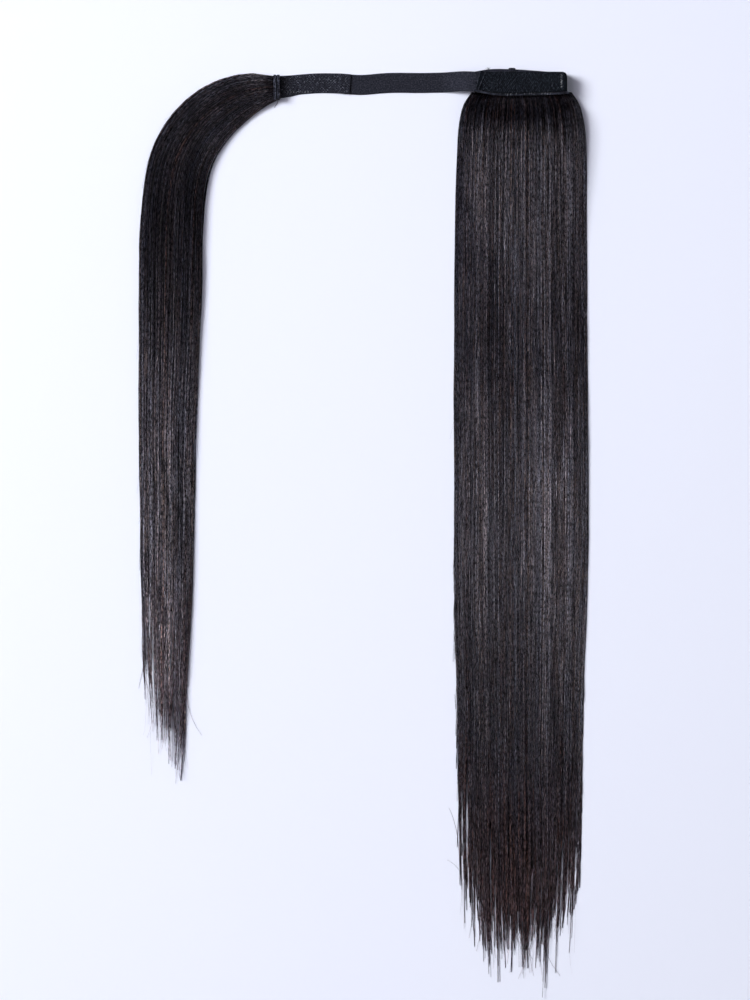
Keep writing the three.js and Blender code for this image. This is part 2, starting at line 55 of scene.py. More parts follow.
# Camera: straight above, aimed so that the object stands where the photograph has it.
PICTURE_HEIGHT = 0.8
CAMERA_HEIGHT = 3.0
CAMERA_REACH = 10.0
SENSOR = 36.0
AIM_LEFT_OF_HEAD = 116.6 * MM
AIM_BELOW_STRAP = 333.6 * MM
AIM = Vector((HEAD_X - AIM_LEFT_OF_HEAD, STRAP_Y - AIM_BELOW_STRAP, 0))


def link(data, name):
    placed = bpy.data.objects.new(name, data)
    bpy.context.collection.objects.link(placed)
    return placed


def make_camera():
    data = bpy.data.cameras.new("camera")
    data.sensor_width = SENSOR
    data.lens = SENSOR * CAMERA_HEIGHT / PICTURE_HEIGHT
    data.clip_end = CAMERA_REACH
    camera = link(data, "camera")
    camera.location = (AIM.x, AIM.y, CAMERA_HEIGHT)
    bpy.context.scene.camera = camera


make_camera()

# Exponents of a bundle's cross-section: at its round root, over its crest and where it lies.
ROUND_SHAPE = (3.0, 0.45)
DOME_SHAPE = (2.0, 0.6)
FLAT_SHAPE = (2.8, 0.75)

# Sizes of the hair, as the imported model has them, and the least height of each bundle.
FALL_WIDTH = 105 * MM
FALL_LENGTH = 712 * MM
FALL_CREST = 24 * MM
FALL_LEAST = 0.7 * MM
FALL_ROOT_BELOW = 7.7 * MM
WRAP_WIDTH = 50 * MM
WRAP_HEIGHT = 10 * MM
WRAP_LEAST = 0.6 * MM
WRAP_REACH = 87 * MM
WRAP_TURN_DROP = 114 * MM
WRAP_STRAIGHT = 436 * MM
WRAP_ROOT_LIFT = 2.5 * MM
# Shares of the wrap strand's length: where its section goes from round to flat, and the step that
# gives its direction.
WRAP_FLATTENS = (0.3, 0.5)
PATH_STEP = 0.004

# The fall's half widths along it, as shares of half its width.
FALL_SHAPE = dict(
    along=[0, 0.012, 0.027, 0.046, 0.068, 0.13, 0.2, 0.287, 0.422, 0.557, 0.68, 0.78, 0.85, 0.91, 1],
    left=[0.74, 0.85, 0.91, 0.945, 0.96, 0.985, 1, 1.01, 1, 1.01, 0.975, 0.965, 0.96, 0.94, 0.88],
    right=[0.76, 0.87, 0.93, 0.97, 0.985, 0.99, 0.995, 1, 1.02, 1, 0.945, 0.92, 0.9, 0.86, 0.76],
)
# The fall rises from its root to a crest, and drops from it in a long hollow curve to the height at
# which it lies. It drops sooner along its left side and later along its right, by DROP_SKEW.
FALL_RISE = dict(along=[0, 0.008, 0.018, 0.029, 0.038], height=[0.37, 0.58, 0.82, 0.97, 1])
FALL_LIE = dict(
    along=[0, 0.06, 0.15, 0.233, 0.278, 0.345, 0.401, 0.48, 0.57, 0.682, 0.795, 0.907, 1],
    height=[0.25, 0.3, 0.36, 0.4, 0.415, 0.434, 0.436, 0.412, 0.345, 0.222, 0.105, 0.036, 0.015],
)
CREST_AT = 0.038
CREST_OFF = -0.02
CREST_BLEND = 2 * MM
DROP_END = 0.57
DROP_RADIUS = 3.0
DROP_SKEW = (0.12, 0.42)
# The wrap strand's turn, and the straight part below it, as shares of the sizes above.
WRAP_TURN = dict(
    reach=[0, 0.04, 0.07, 0.134, 0.253, 0.396, 0.553, 0.696, 0.825, 0.915, 0.968, 1],
    drop=[0, 0.002, 0.005, 0.014, 0.033, 0.076, 0.146, 0.242, 0.37, 0.515, 0.71, 1],
    width=[0.33, 0.33, 0.38, 0.48, 0.62, 0.75, 0.857, 0.92, 0.96, 0.985, 0.985, 1],
    height=[0.4, 0.4, 0.43, 0.48, 0.55, 0.64, 0.72, 0.8, 0.87, 0.92, 0.95, 0.965],
    lift=[1, 1, 0.95, 0.7, 0.25, 0, 0, 0, 0, 0, 0, 0],
)
WRAP_HANG = dict(
    fall=[0.11, 0.22, 0.367, 0.514, 0.66, 0.77, 0.88, 1],
    drift=[-0.016, -0.037, -0.064, -0.067, -0.07, -0.082, -0.085, -0.07],
    width=[1, 0.96, 0.905, 0.85, 0.81, 0.74, 0.64, 0.56],
    height=[0.97, 0.955, 0.9, 0.85, 0.8, 0.73, 0.62, 0.48],
)
# Where the hair thins out across each bundle: all of it reaches full, and none goes past last.
FALL_ENDS = dict(
    side=[-1, -0.96, -0.76, -0.53, -0.29, -0.05, 0.2, 0.46, 0.715, 0.88, 1],
    full=[0.7, 0.73, 0.89, 0.915, 0.913, 0.916, 0.932, 0.912, 0.868, 0.845, 0.82],
    last=[0.9, 0.91, 0.96, 0.98, 0.982, 0.984, 0.991, 0.982, 0.948, 0.94, 0.93],
)
WRAP_ENDS = dict(
    side=[-1, -0.85, -0.53, -0.24, 0.05, 0.34, 0.63, 0.92, 1],
    full=[0.835, 0.842, 0.872, 0.906, 0.914, 0.912, 0.918, 0.92, 0.92],
    last=[0.91, 0.917, 0.946, 0.966, 0.98, 0.99, 1, 1, 0.998],
)
# How far each share of the hairs reaches, from where they thin out (0) to the last one (1).
ENDING = dict(
    share=[0.4, 0.55, 0.68, 0.82, 0.89, 0.936, 0.97, 0.989, 1],
    reach=[-0.3, 0, 0.13, 0.25, 0.37, 0.51, 0.65, 0.8, 1],
)


def smoothstep(low, high, value):
    share = np.clip((value - low) / (high - low), 0, 1)
    return share * share * (3 - 2 * share)


def smooth_lookup(table, column, at):
    """A smooth curve through a column, read at every place in at, straight past its ends."""
    places, values = (np.asarray(table[key], float) for key in ("along", column))
    slopes = np.gradient(values, places)
    past = np.maximum(at - places[-1], 0) * slopes[-1] + np.minimum(at - places[0], 0) * slopes[0]
    at = np.clip(at, places[0], places[-1])
    cell = np.clip(np.searchsorted(places, at) - 1, 0, len(places) - 2)
    width = places[cell + 1] - places[cell]
    t = (at - places[cell]) / width
    start = (2 * t**3 - 3 * t**2 + 1) * values[cell] + (t**3 - 2 * t**2 + t) * width * slopes[cell]
    end = (3 * t**2 - 2 * t**3) * values[cell + 1] + (t**3 - t**2) * width * slopes[cell + 1]
    return start + end + past


def section(side, shape):
    """Height of a cross-section, as a share, at places across it from -1 to 1."""
    return (1 - np.clip(np.abs(side), 0, 1) ** shape[0]) ** shape[1]


def fall_height(guide, side):
    """Height of the fall's surface at each place across it, from -1 to 1."""
    along = guide["along"]
    rise = np.interp(along, FALL_RISE["along"], FALL_RISE["height"])
    past = np.clip(along, CREST_AT, DROP_END)
    drop = ((DROP_END - CREST_AT) ** 2 - (DROP_END - past) ** 2) * FALL_LENGTH**2 / (2 * DROP_RADIUS)
    drop = drop * (1 - np.where(side < 0, *DROP_SKEW) * side)
    from_crest = (side - CREST_OFF) / np.where(side < CREST_OFF, 1 + CREST_OFF, 1 - CREST_OFF)
    domed = smoothstep(0, CREST_AT, along)
    across = section(side, ROUND_SHAPE) * (1 - domed) + section(from_crest, DOME_SHAPE) * domed
    upper = FALL_CREST * rise * across - drop
    lying = FALL_CREST * smooth_lookup(FALL_LIE, "height", along)
    lower = np.maximum(lying, FALL_LEAST) * section(side, FLAT_SHAPE)
    return (upper + lower + np.hypot(upper - lower, CREST_BLEND * across)) / 2


def fall_guide(along):
    """Middle, way across, half widths, underside and top of the fall at each share."""
    left, right = (smooth_lookup(FALL_SHAPE, key, along) for key in ("left", "right"))
    return dict(x=HEAD_X, y=STRAP_Y - FALL_ROOT_BELOW - along * FALL_LENGTH, across_x=1.0, across_y=0.0,
                left=left * FALL_WIDTH / 2, right=right * FALL_WIDTH / 2, low=0.0,
                height=fall_height, along=along)


def wrap_table():
    """The wrap strand's turn and its straight part as one run, from the root on."""
    low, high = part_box("root_binding")
    start_x = (low.x + high.x) / 2
    start_y = (low.y + high.y) / 2
    turn = {key: np.asarray(value, float) for key, value in WRAP_TURN.items()}
    hang = {key: np.asarray(value, float) for key, value in WRAP_HANG.items()}
    x = np.concatenate([start_x - turn["reach"] * WRAP_REACH,
                        start_x - WRAP_REACH + hang["drift"] * WRAP_WIDTH])
    y = np.concatenate([start_y - turn["drop"] * WRAP_TURN_DROP,
                        start_y - WRAP_TURN_DROP - hang["fall"] * WRAP_STRAIGHT])
    travelled = np.concatenate([[0], np.cumsum(np.hypot(np.diff(x), np.diff(y)))])
    return dict(
        along=travelled / travelled[-1], x=x, y=y, length=travelled[-1],
        width=np.concatenate([turn["width"], hang["width"]]) * WRAP_WIDTH,
        height=np.concatenate([turn["height"], hang["height"]]) * WRAP_HEIGHT,
        lift=np.concatenate([turn["lift"], np.zeros(len(hang["fall"]))]) * WRAP_ROOT_LIFT,
    )


WRAP = wrap_table()


def wrap_height(guide, side):
    round_top, flat_top = section(side, ROUND_SHAPE), section(side, FLAT_SHAPE)
    return guide["thick"] * (round_top + (flat_top - round_top) * guide["flat"])


def wrap_guide(along):
    """The same as fall_guide, for the strand that wraps over the strap."""

    def read(column, at):
        return smooth_lookup(WRAP, column, at)

    run_x, run_y = (read(key, along + PATH_STEP) - read(key, along - PATH_STEP) for key in ("x", "y"))
    run = np.hypot(run_x, run_y)
    half = read("width", along) / 2
    return dict(x=read("x", along), y=read("y", along), across_x=-run_y / run, across_y=run_x / run,
                left=half, right=half, low=np.maximum(read("lift", along), 0), height=wrap_height,
                thick=np.maximum(read("height", along), WRAP_LEAST), flat=smoothstep(*WRAP_FLATTENS, along))


def place_in(guide, side, level):
    """Points of a bundle: side runs from -1 to 1 across it, level from 0 to 1 up to its surface."""
    reach = np.where(side < 0, guide["left"], guide["right"]) * side
    x = guide["x"] + guide["across_x"] * reach
    y = guide["y"] + guide["across_y"] * reach
    z = guide["low"] + guide["height"](guide, side) * level
    return np.stack([x, y, z], axis=-1)


def shift_across(points, guide, by):
    points[..., 0] += guide["across_x"] * by
    points[..., 1] += guide["across_y"] * by


# Meshes

def dress(piece, material_name, slot_name, *nodes):
    """Give a piece its material, hide the nodes that it stands in for, and attach it to the root body.
    slot_name is not used.
    """
    piece.data.materials.append(bpy.data.materials[material_name])
    if nodes:
        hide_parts(*nodes)
    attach(piece, "root")


def quick_mesh(name, points, faces, uvs=None):
    """A smooth closed mesh from points, arrays of faces and, where given, a map's coordinates."""
    points = np.asarray(points, float).reshape(-1, 3)
    mesh = bpy.data.meshes.new(name)
    loops = np.concatenate([face.reshape(-1) for face in faces]).astype(np.int32)
    sizes = np.concatenate([np.full(len(face), face.shape[1]) for face in faces]).astype(np.int32)
    starts = np.concatenate([[0], np.cumsum(sizes)[:-1]]).astype(np.int32)
    mesh.vertices.add(len(points))
    mesh.vertices.foreach_set("co", points.astype(np.float32).reshape(-1))
    mesh.loops.add(len(loops))
    mesh.loops.foreach_set("vertex_index", loops)
    mesh.polygons.add(len(sizes))
    mesh.polygons.foreach_set("loop_start", starts)
    mesh.update(calc_edges=True)
    mesh.polygons.foreach_set("use_smooth", np.ones(len(sizes), bool))
    if uvs:
        layer = mesh.uv_layers.new(name="OFBake")
        flat = np.concatenate([uv.reshape(-1) for uv in uvs])
        layer.data.foreach_set("uv", flat.astype(np.float32))
    return link(mesh, name)


def skin_faces(rows, around):
    """Faces of a closed skin over rows of points, each row a ring of points around."""
    index = np.arange(rows * around).reshape(rows, around)
    following = np.roll(np.arange(around), -1)
    near, far = index[:-1], index[1:]
    quads = np.stack([near, near[:, following], far[:, following], far], -1).reshape(-1, 4)
    return [quads, index[:1, ::-1], index[-1:]]


UP = (0.0, 0.0, 1.0)
ACROSS = (0.0, 1.0, 0.0)
RIGHT = (1.0, 0.0, 0.0)


def unit(vectors):
    return vectors / np.linalg.norm(vectors, axis=-1, keepdims=True)


def tube_faces(paths, radii, sides, facing=UP):
    """Points and faces of closed round threads: paths (thread, ring, xyz), radii (thread, ring).
    No part of a path may run along facing."""
    count, rings, _ = paths.shape
    run = unit(np.gradient(paths, axis=1))
    side = unit(np.cross(run, np.asarray(facing, float)))
    up = np.cross(side, run)
    angles = (np.arange(sides) / sides + 0.25) * 2 * math.pi
    ring = (side[:, :, None, :] * np.cos(angles)[None, None, :, None]
            + up[:, :, None, :] * np.sin(angles)[None, None, :, None])
    points = paths[:, :, None, :] + ring * radii[:, :, None, None]
    index = np.arange(count * rings * sides).reshape(count, rings, sides)
    near, far = index[:, :-1, :], index[:, 1:, :]
    following = np.roll(np.arange(sides), -1)
    quads = np.stack([near, far, far[:, :, following], near[:, :, following]], axis=-1)
    caps = np.concatenate([index[:, 0, :], index[:, -1, ::-1]])
    return points.reshape(-1, 3), [quads.reshape(-1, 4), caps]


# Hairs. Across the map each has the strip of its tone, and up the map it has its length.
SIDES = 3
TONE_STRIPS = 64
TONE_DRIFT = 9
MAP_MARGIN = 0.05
MAP_DRIFT = 0.8
MAP_RANGE = (0.002, 0.997)
CAP_ON_MAP = np.array([0.0, 0.0, 0.001])


def strands(name, paths, radii, tones, along):
    """Closed hairs as one mesh, with their tones and lengths on its map."""
    count, rings, _ = paths.shape
    points, faces = tube_faces(paths, radii, SIDES)
    strip = (tones[:, None, None] + (np.arange(SIDES + 1) / SIDES)[None, None, :]) / TONE_STRIPS
    strip = np.broadcast_to(strip, (count, rings, SIDES + 1))
    height = np.broadcast_to(along[:, :, None], (count, rings, SIDES + 1))
    u, v = (np.stack([grid[:, :-1, :-1], grid[:, 1:, :-1], grid[:, 1:, 1:], grid[:, :-1, 1:]], -1)
            for grid in (strip, height))
    cap_u = np.concatenate([strip[:, 0, :-1], strip[:, 0, -2::-1]])
    cap_v = np.concatenate([height[:, 0, :-1], height[:, -1, :-1]]) + CAP_ON_MAP
    return quick_mesh(name, points, faces, [np.stack([u, v], -1), np.stack([cap_u, cap_v], -1)])


def waves(random, count, at, length, wavelengths, size):
    """Slow waves along a length: the sum of a few sines with phases of each thread's own."""
    total = np.zeros((count, at.shape[-1]))
    for wavelength in wavelengths:
        phase = random.uniform(0, 2 * math.pi, (count, 1))
        stretch = random.uniform(0.75, 1.3, (count, 1))
        total += np.sin(at * length / wavelength * stretch * 2 * math.pi + phase)
    return total * size / len(wavelengths)


def ring_shares(near_root, middle, near_tip, root_share, tip_share):
    """Shares of a thread's length, closer together at its root and at its tip."""
    return np.concatenate([
        np.linspace(0, root_share, near_root, endpoint=False),
        np.linspace(root_share, tip_share, middle, endpoint=False),
        np.linspace(tip_share, 1, near_tip),
    ])


def spread_over(shares, aspect):
    """Places across a bundle, evenly spaced along its curved surface from left to right."""
    side = np.linspace(-1, 1, 801)
    rise = (1 - np.abs(side) ** FLAT_SHAPE[0]) ** FLAT_SHAPE[1] * aspect
    travelled = np.concatenate([[0], np.cumsum(np.hypot(np.diff(side), np.diff(rise)))])
    return np.interp(shares * travelled[-1], travelled, side)


def ends_at(ends, side):
    return (np.interp(side, ends["side"], ends[key]) for key in ("full", "last"))


def hair_reach(random, side, lock_of, spec):
    """Where each hair ends, and the middle of the clump that each lock closes up to."""
    clumps = spec["clumps"]
    clump = np.clip(((side + 1) / 2 * clumps).astype(int), 0, clumps - 1)
    centre = (np.arange(clumps) + random.uniform(0.25, 0.75, clumps)) / clumps * 2 - 1
    centre[0] -= 0.5 / clumps
    centre[-1] += 0.5 / clumps
    clump_end = random.normal(0, spec["clump_uneven"], clumps)
    late = random.uniform(0, 1, len(lock_of))
    full, last = ends_at(spec["ends"], side)
    end = full[lock_of] - spec["early"] * np.maximum(1 - late / ENDING["share"][0], 0)
    end += (last - full)[lock_of] * np.interp(late, ENDING["share"], ENDING["reach"])
    end += (clump_end[clump] + random.normal(0, spec["lock_uneven"], len(side)))[lock_of]
    return end, centre[clump]


# At the root a lock has this share of its sway, and all sway sets in over ROOT_STARTS of the length.
ROOT_SWAY = 0.35
ROOT_STARTS = 0.02
# How far a hair's own waves die down towards its tip, and its spread where the locks close up.
TIP_CALM = 0.7
PULL_CALM = 0.9
OFF_FLOOR = 0.05 * MM


def hair_paths(random, guide_at, length, spec):
    """Threads of a bundle, in small locks that share a place, a tone and their waves."""
    locks, each = spec["locks"], spec["each"]
    count = locks * each
    lock_of = np.repeat(np.arange(locks), each)
    share = ring_shares(*spec["rings"])
    side = spread_over((np.arange(locks) + random.uniform(0.0, 1.0, locks)) / locks, spec["aspect"])
    depth = random.uniform(0, 1, locks)
    end, centre = hair_reach(random, side, lock_of, spec)

    along = share[None, :] * end[:, None]
    guide = guide_at(along)
    pulled = random.uniform(*spec["pull"], (locks, 1))[lock_of]
    pull = smoothstep(spec["pull_from"], spec["pull_to"], share)[None, :] * pulled
    side_of = side[lock_of][:, None]
    side_at = side_of + (centre[lock_of][:, None] - side_of) * pull
    sink = spec["deepest"] * depth[lock_of][:, None]
    sink = sink + (random.uniform(0, 1, (count, 1)) - sink) * smoothstep(*spec["settle"], along)
    points = place_in(guide, side_at, 1 - sink)

    lock_sway = waves(random, locks, share[None, :], length, spec["lock_waves"], spec["lock_sway"])
    own_sway = waves(random, count, along, length, spec["own_waves"], spec["own_sway"])
    own_lift = waves(random, count, along, length, spec["own_waves"], spec["own_lift"])
    spread = random.normal(0, spec["spread"], (count, 1))
    lift = random.normal(0, spec["lift"], (count, 1))
    tip = smoothstep(spec["pull_from"], 1.0, share)[None, :] ** 2
    stray = np.where(random.uniform(0, 1, (count, 1)) < spec["strays"], spec["stray_drift"], 1.0)
    drift = random.normal(0, spec["drift"], (count, 1)) * stray * tip
    drift = drift + random.normal(0, spec["lock_bend"], (locks, 1))[lock_of] * tip**2
    start = np.minimum(along / ROOT_STARTS, 1)
    sway = lock_sway[lock_of] * (ROOT_SWAY + (1 - ROOT_SWAY) * along) + own_sway * (1 - TIP_CALM * tip)
    shift_across(points, guide, spread * (1 - PULL_CALM * pull) + sway * start + drift)
    points[..., 2] += (lift + own_lift) * start * (1 - TIP_CALM * tip)

    thick = np.exp(random.normal(0, spec["thick_spread"], (count, 1))).clip(*spec["thick_range"])
    taper = 1 - smoothstep(spec["thin_from"], 1.0, share)[None, :] * (1 - spec["tip_thin"])
    radii = thick * spec["radius"] * taper
    points[..., 2] = np.maximum(points[..., 2], radii + OFF_FLOOR)
    tones = random.integers(0, TONE_STRIPS, locks)[lock_of]
    tones = (tones + random.integers(-TONE_DRIFT, TONE_DRIFT + 1, count)) % TONE_STRIPS
    drift = random.uniform(-MAP_DRIFT, MAP_DRIFT, (count, 1)) * MAP_MARGIN
    return points, radii, tones, np.clip(on_map(along) + drift, *MAP_RANGE)


def on_map(along):
    return MAP_MARGIN + (1 - 2 * MAP_MARGIN) * along


def fine_ends(random, guide_at, ends, count, start, curl):
    """Thin single hairs past the end of a bundle, each with a curl of its own."""
    each = (count, 1)
    rings, begin_over, tip_level, thins, least_height = 10, 0.06, 0.15, 0.5, 0.15 * MM
    wild_share, wild_bend, wave_share = 0.1, 3.5, 0.25
    share = np.linspace(0, 1, rings)[None, :]
    side = random.uniform(-1, 1, count)
    full, last = ends_at(ends, side)
    begin = random.uniform(start, start + begin_over, count)[:, None]
    finish = (full + (last - full) * random.uniform(-0.3, 1.15, count))[:, None]
    along = begin + (finish - begin) * share
    guide = guide_at(along)
    level = random.uniform(0.3, 1, each) * (1 - share) + tip_level
    points = place_in(guide, side[:, None], level)
    wild = np.where(random.uniform(0, 1, each) < wild_share, wild_bend, 1.0)
    bend = random.normal(0, curl, each) * wild * share**3
    wave = random.normal(0, wave_share * curl, each) * np.sin(share * random.uniform(3, 9, each))
    shift_across(points, guide, bend + wave * share)
    radii = random.uniform(0.11, 0.17, each) * MM * (1 - thins * share**2)
    rise = random.uniform(0, 0.5, each) * share * MM
    points[..., 2] = np.maximum(points[..., 2] + rise, least_height)
    return points, radii, along


def strays(random, guide_at, count, start, reach):
    """Loose hairs that leave a bundle's edges and come to lie beside it."""
    each = (count, 1)
    rings, gather, wave_height, lying_height, arch, thins = 16, 1.6, 1.6, 0.2, 3, 0.5
    share = np.linspace(0, 1, rings)[None, :]
    side = np.where(random.uniform(0, 1, each) < 0.5, -1.0, 1.0)
    begin = random.uniform(*start, each)
    along = begin + random.uniform(0.03, 0.12, each) * share
    guide = guide_at(along)
    points = place_in(guide, side * random.uniform(0.8, 0.97, each) + 0 * share, 1.0)
    out = random.gamma(gather, reach / gather, each) * side
    out = out * share ** random.uniform(1.2, 2.6, each)
    wave = np.sin(share * random.uniform(2, 8, each) + random.uniform(0, 6, each))
    wave = wave * share * (1 - share) * random.normal(0, wave_height * MM, each)
    shift_across(points, guide, out + wave)
    lying = (lying_height + np.sin(share * arch)) * MM
    points[..., 2] = points[..., 2] * (1 - smoothstep(0.1, 0.9, share)) + lying
    radii = random.uniform(0.05, 0.08, each) * MM * (1 - thins * share)
    return points, radii, along


# The dense inside of each bundle: where it ends, its width and height as shares of the bundle's,
# the share of its length over which it thins, how far it narrows, and over which share.
FALL_INSIDE = dict(end=0.92, width=0.96, height=0.88, thins=0.32, narrows=0.9, over=0.2)
WRAP_INSIDE = dict(end=0.78, width=0.94, height=0.88, thins=0.06, narrows=0.3, over=0.1)
INSIDE_LEAST = 0.12
INSIDE_OFF_FLOOR = 0.12 * MM


def bundle_body(name, guide_at, spec, rings=90, around=40):
    """The dense inside of a bundle, closed, flat underneath, with a map of its own."""
    end = spec["end"]
    along = np.linspace(0, end, rings)
    side = np.cos(np.linspace(0, math.pi, around)) * spec["width"]
    fade = np.clip((end - along) / spec["thins"], INSIDE_LEAST, 1)[:, None]
    narrow = 1 - spec["narrows"] * smoothstep(end - spec["over"], end, along)[:, None]
    points = place_in(guide_at(along[:, None]), side[None, :] * narrow, spec["height"] * fade)
    points[..., 2] += INSIDE_OFF_FLOOR
    u, v = np.meshgrid(np.linspace(0, 1, around + 1), along / end)
    corner = np.stack([u, v], -1)
    uvs = np.stack([corner[:-1, :-1], corner[:-1, 1:], corner[1:, 1:], corner[1:, :-1]], -2)
    return quick_mesh(name, points, skin_faces(rings, around), [uvs, corner[0, :-1][::-1], corner[-1, :-1]])


# Materials

def feed(tree, made, inputs):
    """Give a node its inputs: sockets by a link, and numbers and colours as they are."""
    for key, value in inputs.items():
        if isinstance(value, bpy.types.NodeSocket):
            tree.links.new(value, made.inputs[key])
        else:
            made.inputs[key].default_value = value


def node(tree, kind, inputs=None, **settings):
    made = tree.nodes.new(kind)
    for key, value in settings.items():
        setattr(made, key, value)
    feed(tree, made, inputs or {})
    return made


def new_material(name):
    """A new material's nodes, and the one of them that shades it."""
    material = bpy.data.materials.new(name)
    material.use_nodes = True
    return material.node_tree, material.node_tree.nodes["Principled BSDF"]


def ramp(tree, source, stops):
    made = node(tree, "ShaderNodeValToRGB", {"Fac": source})
    while len(made.color_ramp.elements) < len(stops):
        made.color_ramp.elements.new(0.5)
    for element, (place, colour) in zip(made.color_ramp.elements, stops):
        element.position = place
        element.color = (*colour, 1)
    return made.outputs["Color"]


def grey_ramp(tree, source, stops):
    return ramp(tree, source, [(place, (level,) * 3) for place, level in stops])


def math_node(tree, operation, first, second=0.0):
    return node(tree, "ShaderNodeMath", {0: first, 1: second}, operation=operation).outputs[0]


def times(tree, first, second):
    return math_node(tree, "MULTIPLY", first, second)


def blend(tree, kind, first, second):
    """Two colours multiplied or added in full, kept between 0 and 1."""
    settings = dict(data_type="RGBA", blend_type=kind, clamp_result=True)
    return node(tree, "ShaderNodeMix", {0: 1.0, 6: first, 7: second}, **settings).outputs[2]


def split(tree, vector):
    return node(tree, "ShaderNodeSeparateXYZ", {0: vector}).outputs


def stretched(tree, across, along):
    return node(tree, "ShaderNodeCombineXYZ", {0: across, 1: along}).outputs[0]


def noise(tree, vector, scale, detail):
    inputs = {"Vector": vector, "Scale": scale, "Detail": detail}
    return node(tree, "ShaderNodeTexNoise", inputs).outputs["Fac"]


def chance(tree, strip, seed):
    """A random value for each strip of tone, another one for each seed."""
    seeded = {"W": math_node(tree, "ADD", strip, seed)}
    return node(tree, "ShaderNodeTexWhiteNoise", seeded, noise_dimensions="1D").outputs["Value"]


def bump(tree, height, strength, distance):
    inputs = {"Height": height, "Strength": strength, "Distance": distance}
    return node(tree, "ShaderNodeBump", inputs).outputs["Normal"]


# Tones of the strips, the glints painted into the colour along a hair, and the shine by hair, by place on
# it and in streaks.
HAIR_TONES = [
    (0.0, (0.0012, 0.0012, 0.0016)), (0.3, (0.0026, 0.0025, 0.0035)), (0.6, (0.0048, 0.005, 0.0075)),
    (0.8, (0.0085, 0.0105, 0.0165)), (0.9, (0.013, 0.0085, 0.008)), (1.0, (0.034, 0.019, 0.015)),
]
# Painted glints: factors on the hair's colour along each thread, highlights painted into the colour.
PAINTED_GLINTS = [(0.42, (0.25, 0.25, 0.25)), (0.52, (1.0, 1.0, 1.0)), (0.64, (4.6, 4.3, 4.5))]
THREAD_SHINE = [(0.0, 0.05), (0.5, 0.3), (0.8, 0.62), (1.0, 1.2)]
PLACE_SHINE = [(0.4, 0.03), (0.5, 0.32), (0.62, 1)]
STREAK_SHINE = [(0.32, 0.7), (0.5, 1), (0.68, 1.35)]
STREAKS = (58.0, 4.0, 20.0)
SHINE_TINTS = [
    (0.0, (0.78, 0.8, 1.0)), (0.55, (0.86, 0.84, 1.0)), (0.8, (1.0, 0.84, 0.9)), (1.0, (1.0, 0.74, 0.66)),
]
GRAIN_APART = 7.31
# Each look's root tone darkens the colour at the root: painted shade, where the tapes shade the hair. Its
# tip tones make the tips browner and lighter: partly the hair's own brown, partly painted sheen.
HAIR_LOOKS = dict(
    black_hair=dict(
        cycles=280.0, shine=5.6, painted_root_shade=0.5, tip_tint_and_sheen=((1.8, 1.5, 1.4), (3.5, 2.6, 2.4)),
        fade_from=0.74, fade=(0.032, 0.02, 0.0185),
        shine_along=[(0, 0.1), (0.055, 0.15), (0.085, 0.72), (0.1, 1.08), (0.2, 1.08), (0.27, 0.7),
                        (0.33, 0.76), (0.42, 1), (0.7, 1.0), (0.8, 0.7), (0.87, 0.85), (1, 1.5)],
    ),
    black_wrap_hair=dict(
        cycles=235.0, shine=8.2, painted_root_shade=0.45, tip_tint_and_sheen=((3.0, 2.5, 2.4), (5.0, 4.0, 3.8)),
        fade_from=0.7, fade=(0.052, 0.034, 0.033),
        shine_along=[(0, 0.6), (0.08, 1.4), (0.13, 1.5), (0.23, 0.4), (0.34, 0.42), (0.47, 0.98),
                        (0.7, 0.88), (0.8, 1.3), (0.9, 2.3), (1, 2.6)],
    ),
    loose_hair=dict(
        cycles=60.0, shine=1.4, painted_root_shade=1.0, tip_tint_and_sheen=((3.0, 2.2, 2.0), (5.0, 3.4, 3.2)),
        fade_from=0.7, fade=(0.08, 0.05, 0.045), shine_along=[(0, 1), (1, 1)],
    ),
)


def hair_colour(tree, strip, along, painted_glints, look):
    """Tones by strip with painted glints; painted shade that darkens and warms the root; tips browner and
    lighter, partly their own brown and partly painted sheen; and a brown fade over the tip, laid in the
    painted glint pattern.
    """
    root, (tip_near, tip_end) = look["painted_root_shade"], look["tip_tint_and_sheen"]
    colour = blend(tree, "MULTIPLY", ramp(tree, chance(tree, strip, 0.0), HAIR_TONES), painted_glints)
    # Painted shade darkens the root; the tips get their own brown tint and a painted sheen.
    root_shade_tip_tint_sheen = ramp(tree, along, [(0.04, (root * 1.2, root, root * 0.9)), (0.1, (1, 1, 1)), (0.62, (1, 1, 1)),
                              (0.84, tip_near), (0.97, tip_end)])
    colour = blend(tree, "MULTIPLY", colour, root_shade_tip_tint_sheen)
    fade = ramp(tree, along, [(look["fade_from"], (0, 0, 0)), (0.9, look["fade"])])
    return blend(tree, "ADD", colour, blend(tree, "MULTIPLY", fade, painted_glints))


def hair_shine(tree, strip, along, grain, look):
    """Strength of the reflections: by hair, by place on it, in broad streaks and by its length."""
    place = node(tree, "ShaderNodeTexCoord").outputs["Object"]
    stretch = node(tree, "ShaderNodeVectorMath", {0: place, 1: STREAKS}, operation="MULTIPLY")
    level = grey_ramp(tree, chance(tree, strip, 41.5), THREAD_SHINE)
    for source, stops in (
        (grain, PLACE_SHINE),
        (noise(tree, stretch.outputs[0], 1.0, 1.0), STREAK_SHINE),
        (along, look["shine_along"]),
    ):
        level = blend(tree, "MULTIPLY", level, grey_ramp(tree, source, stops))
    return times(tree, level, look["shine"])


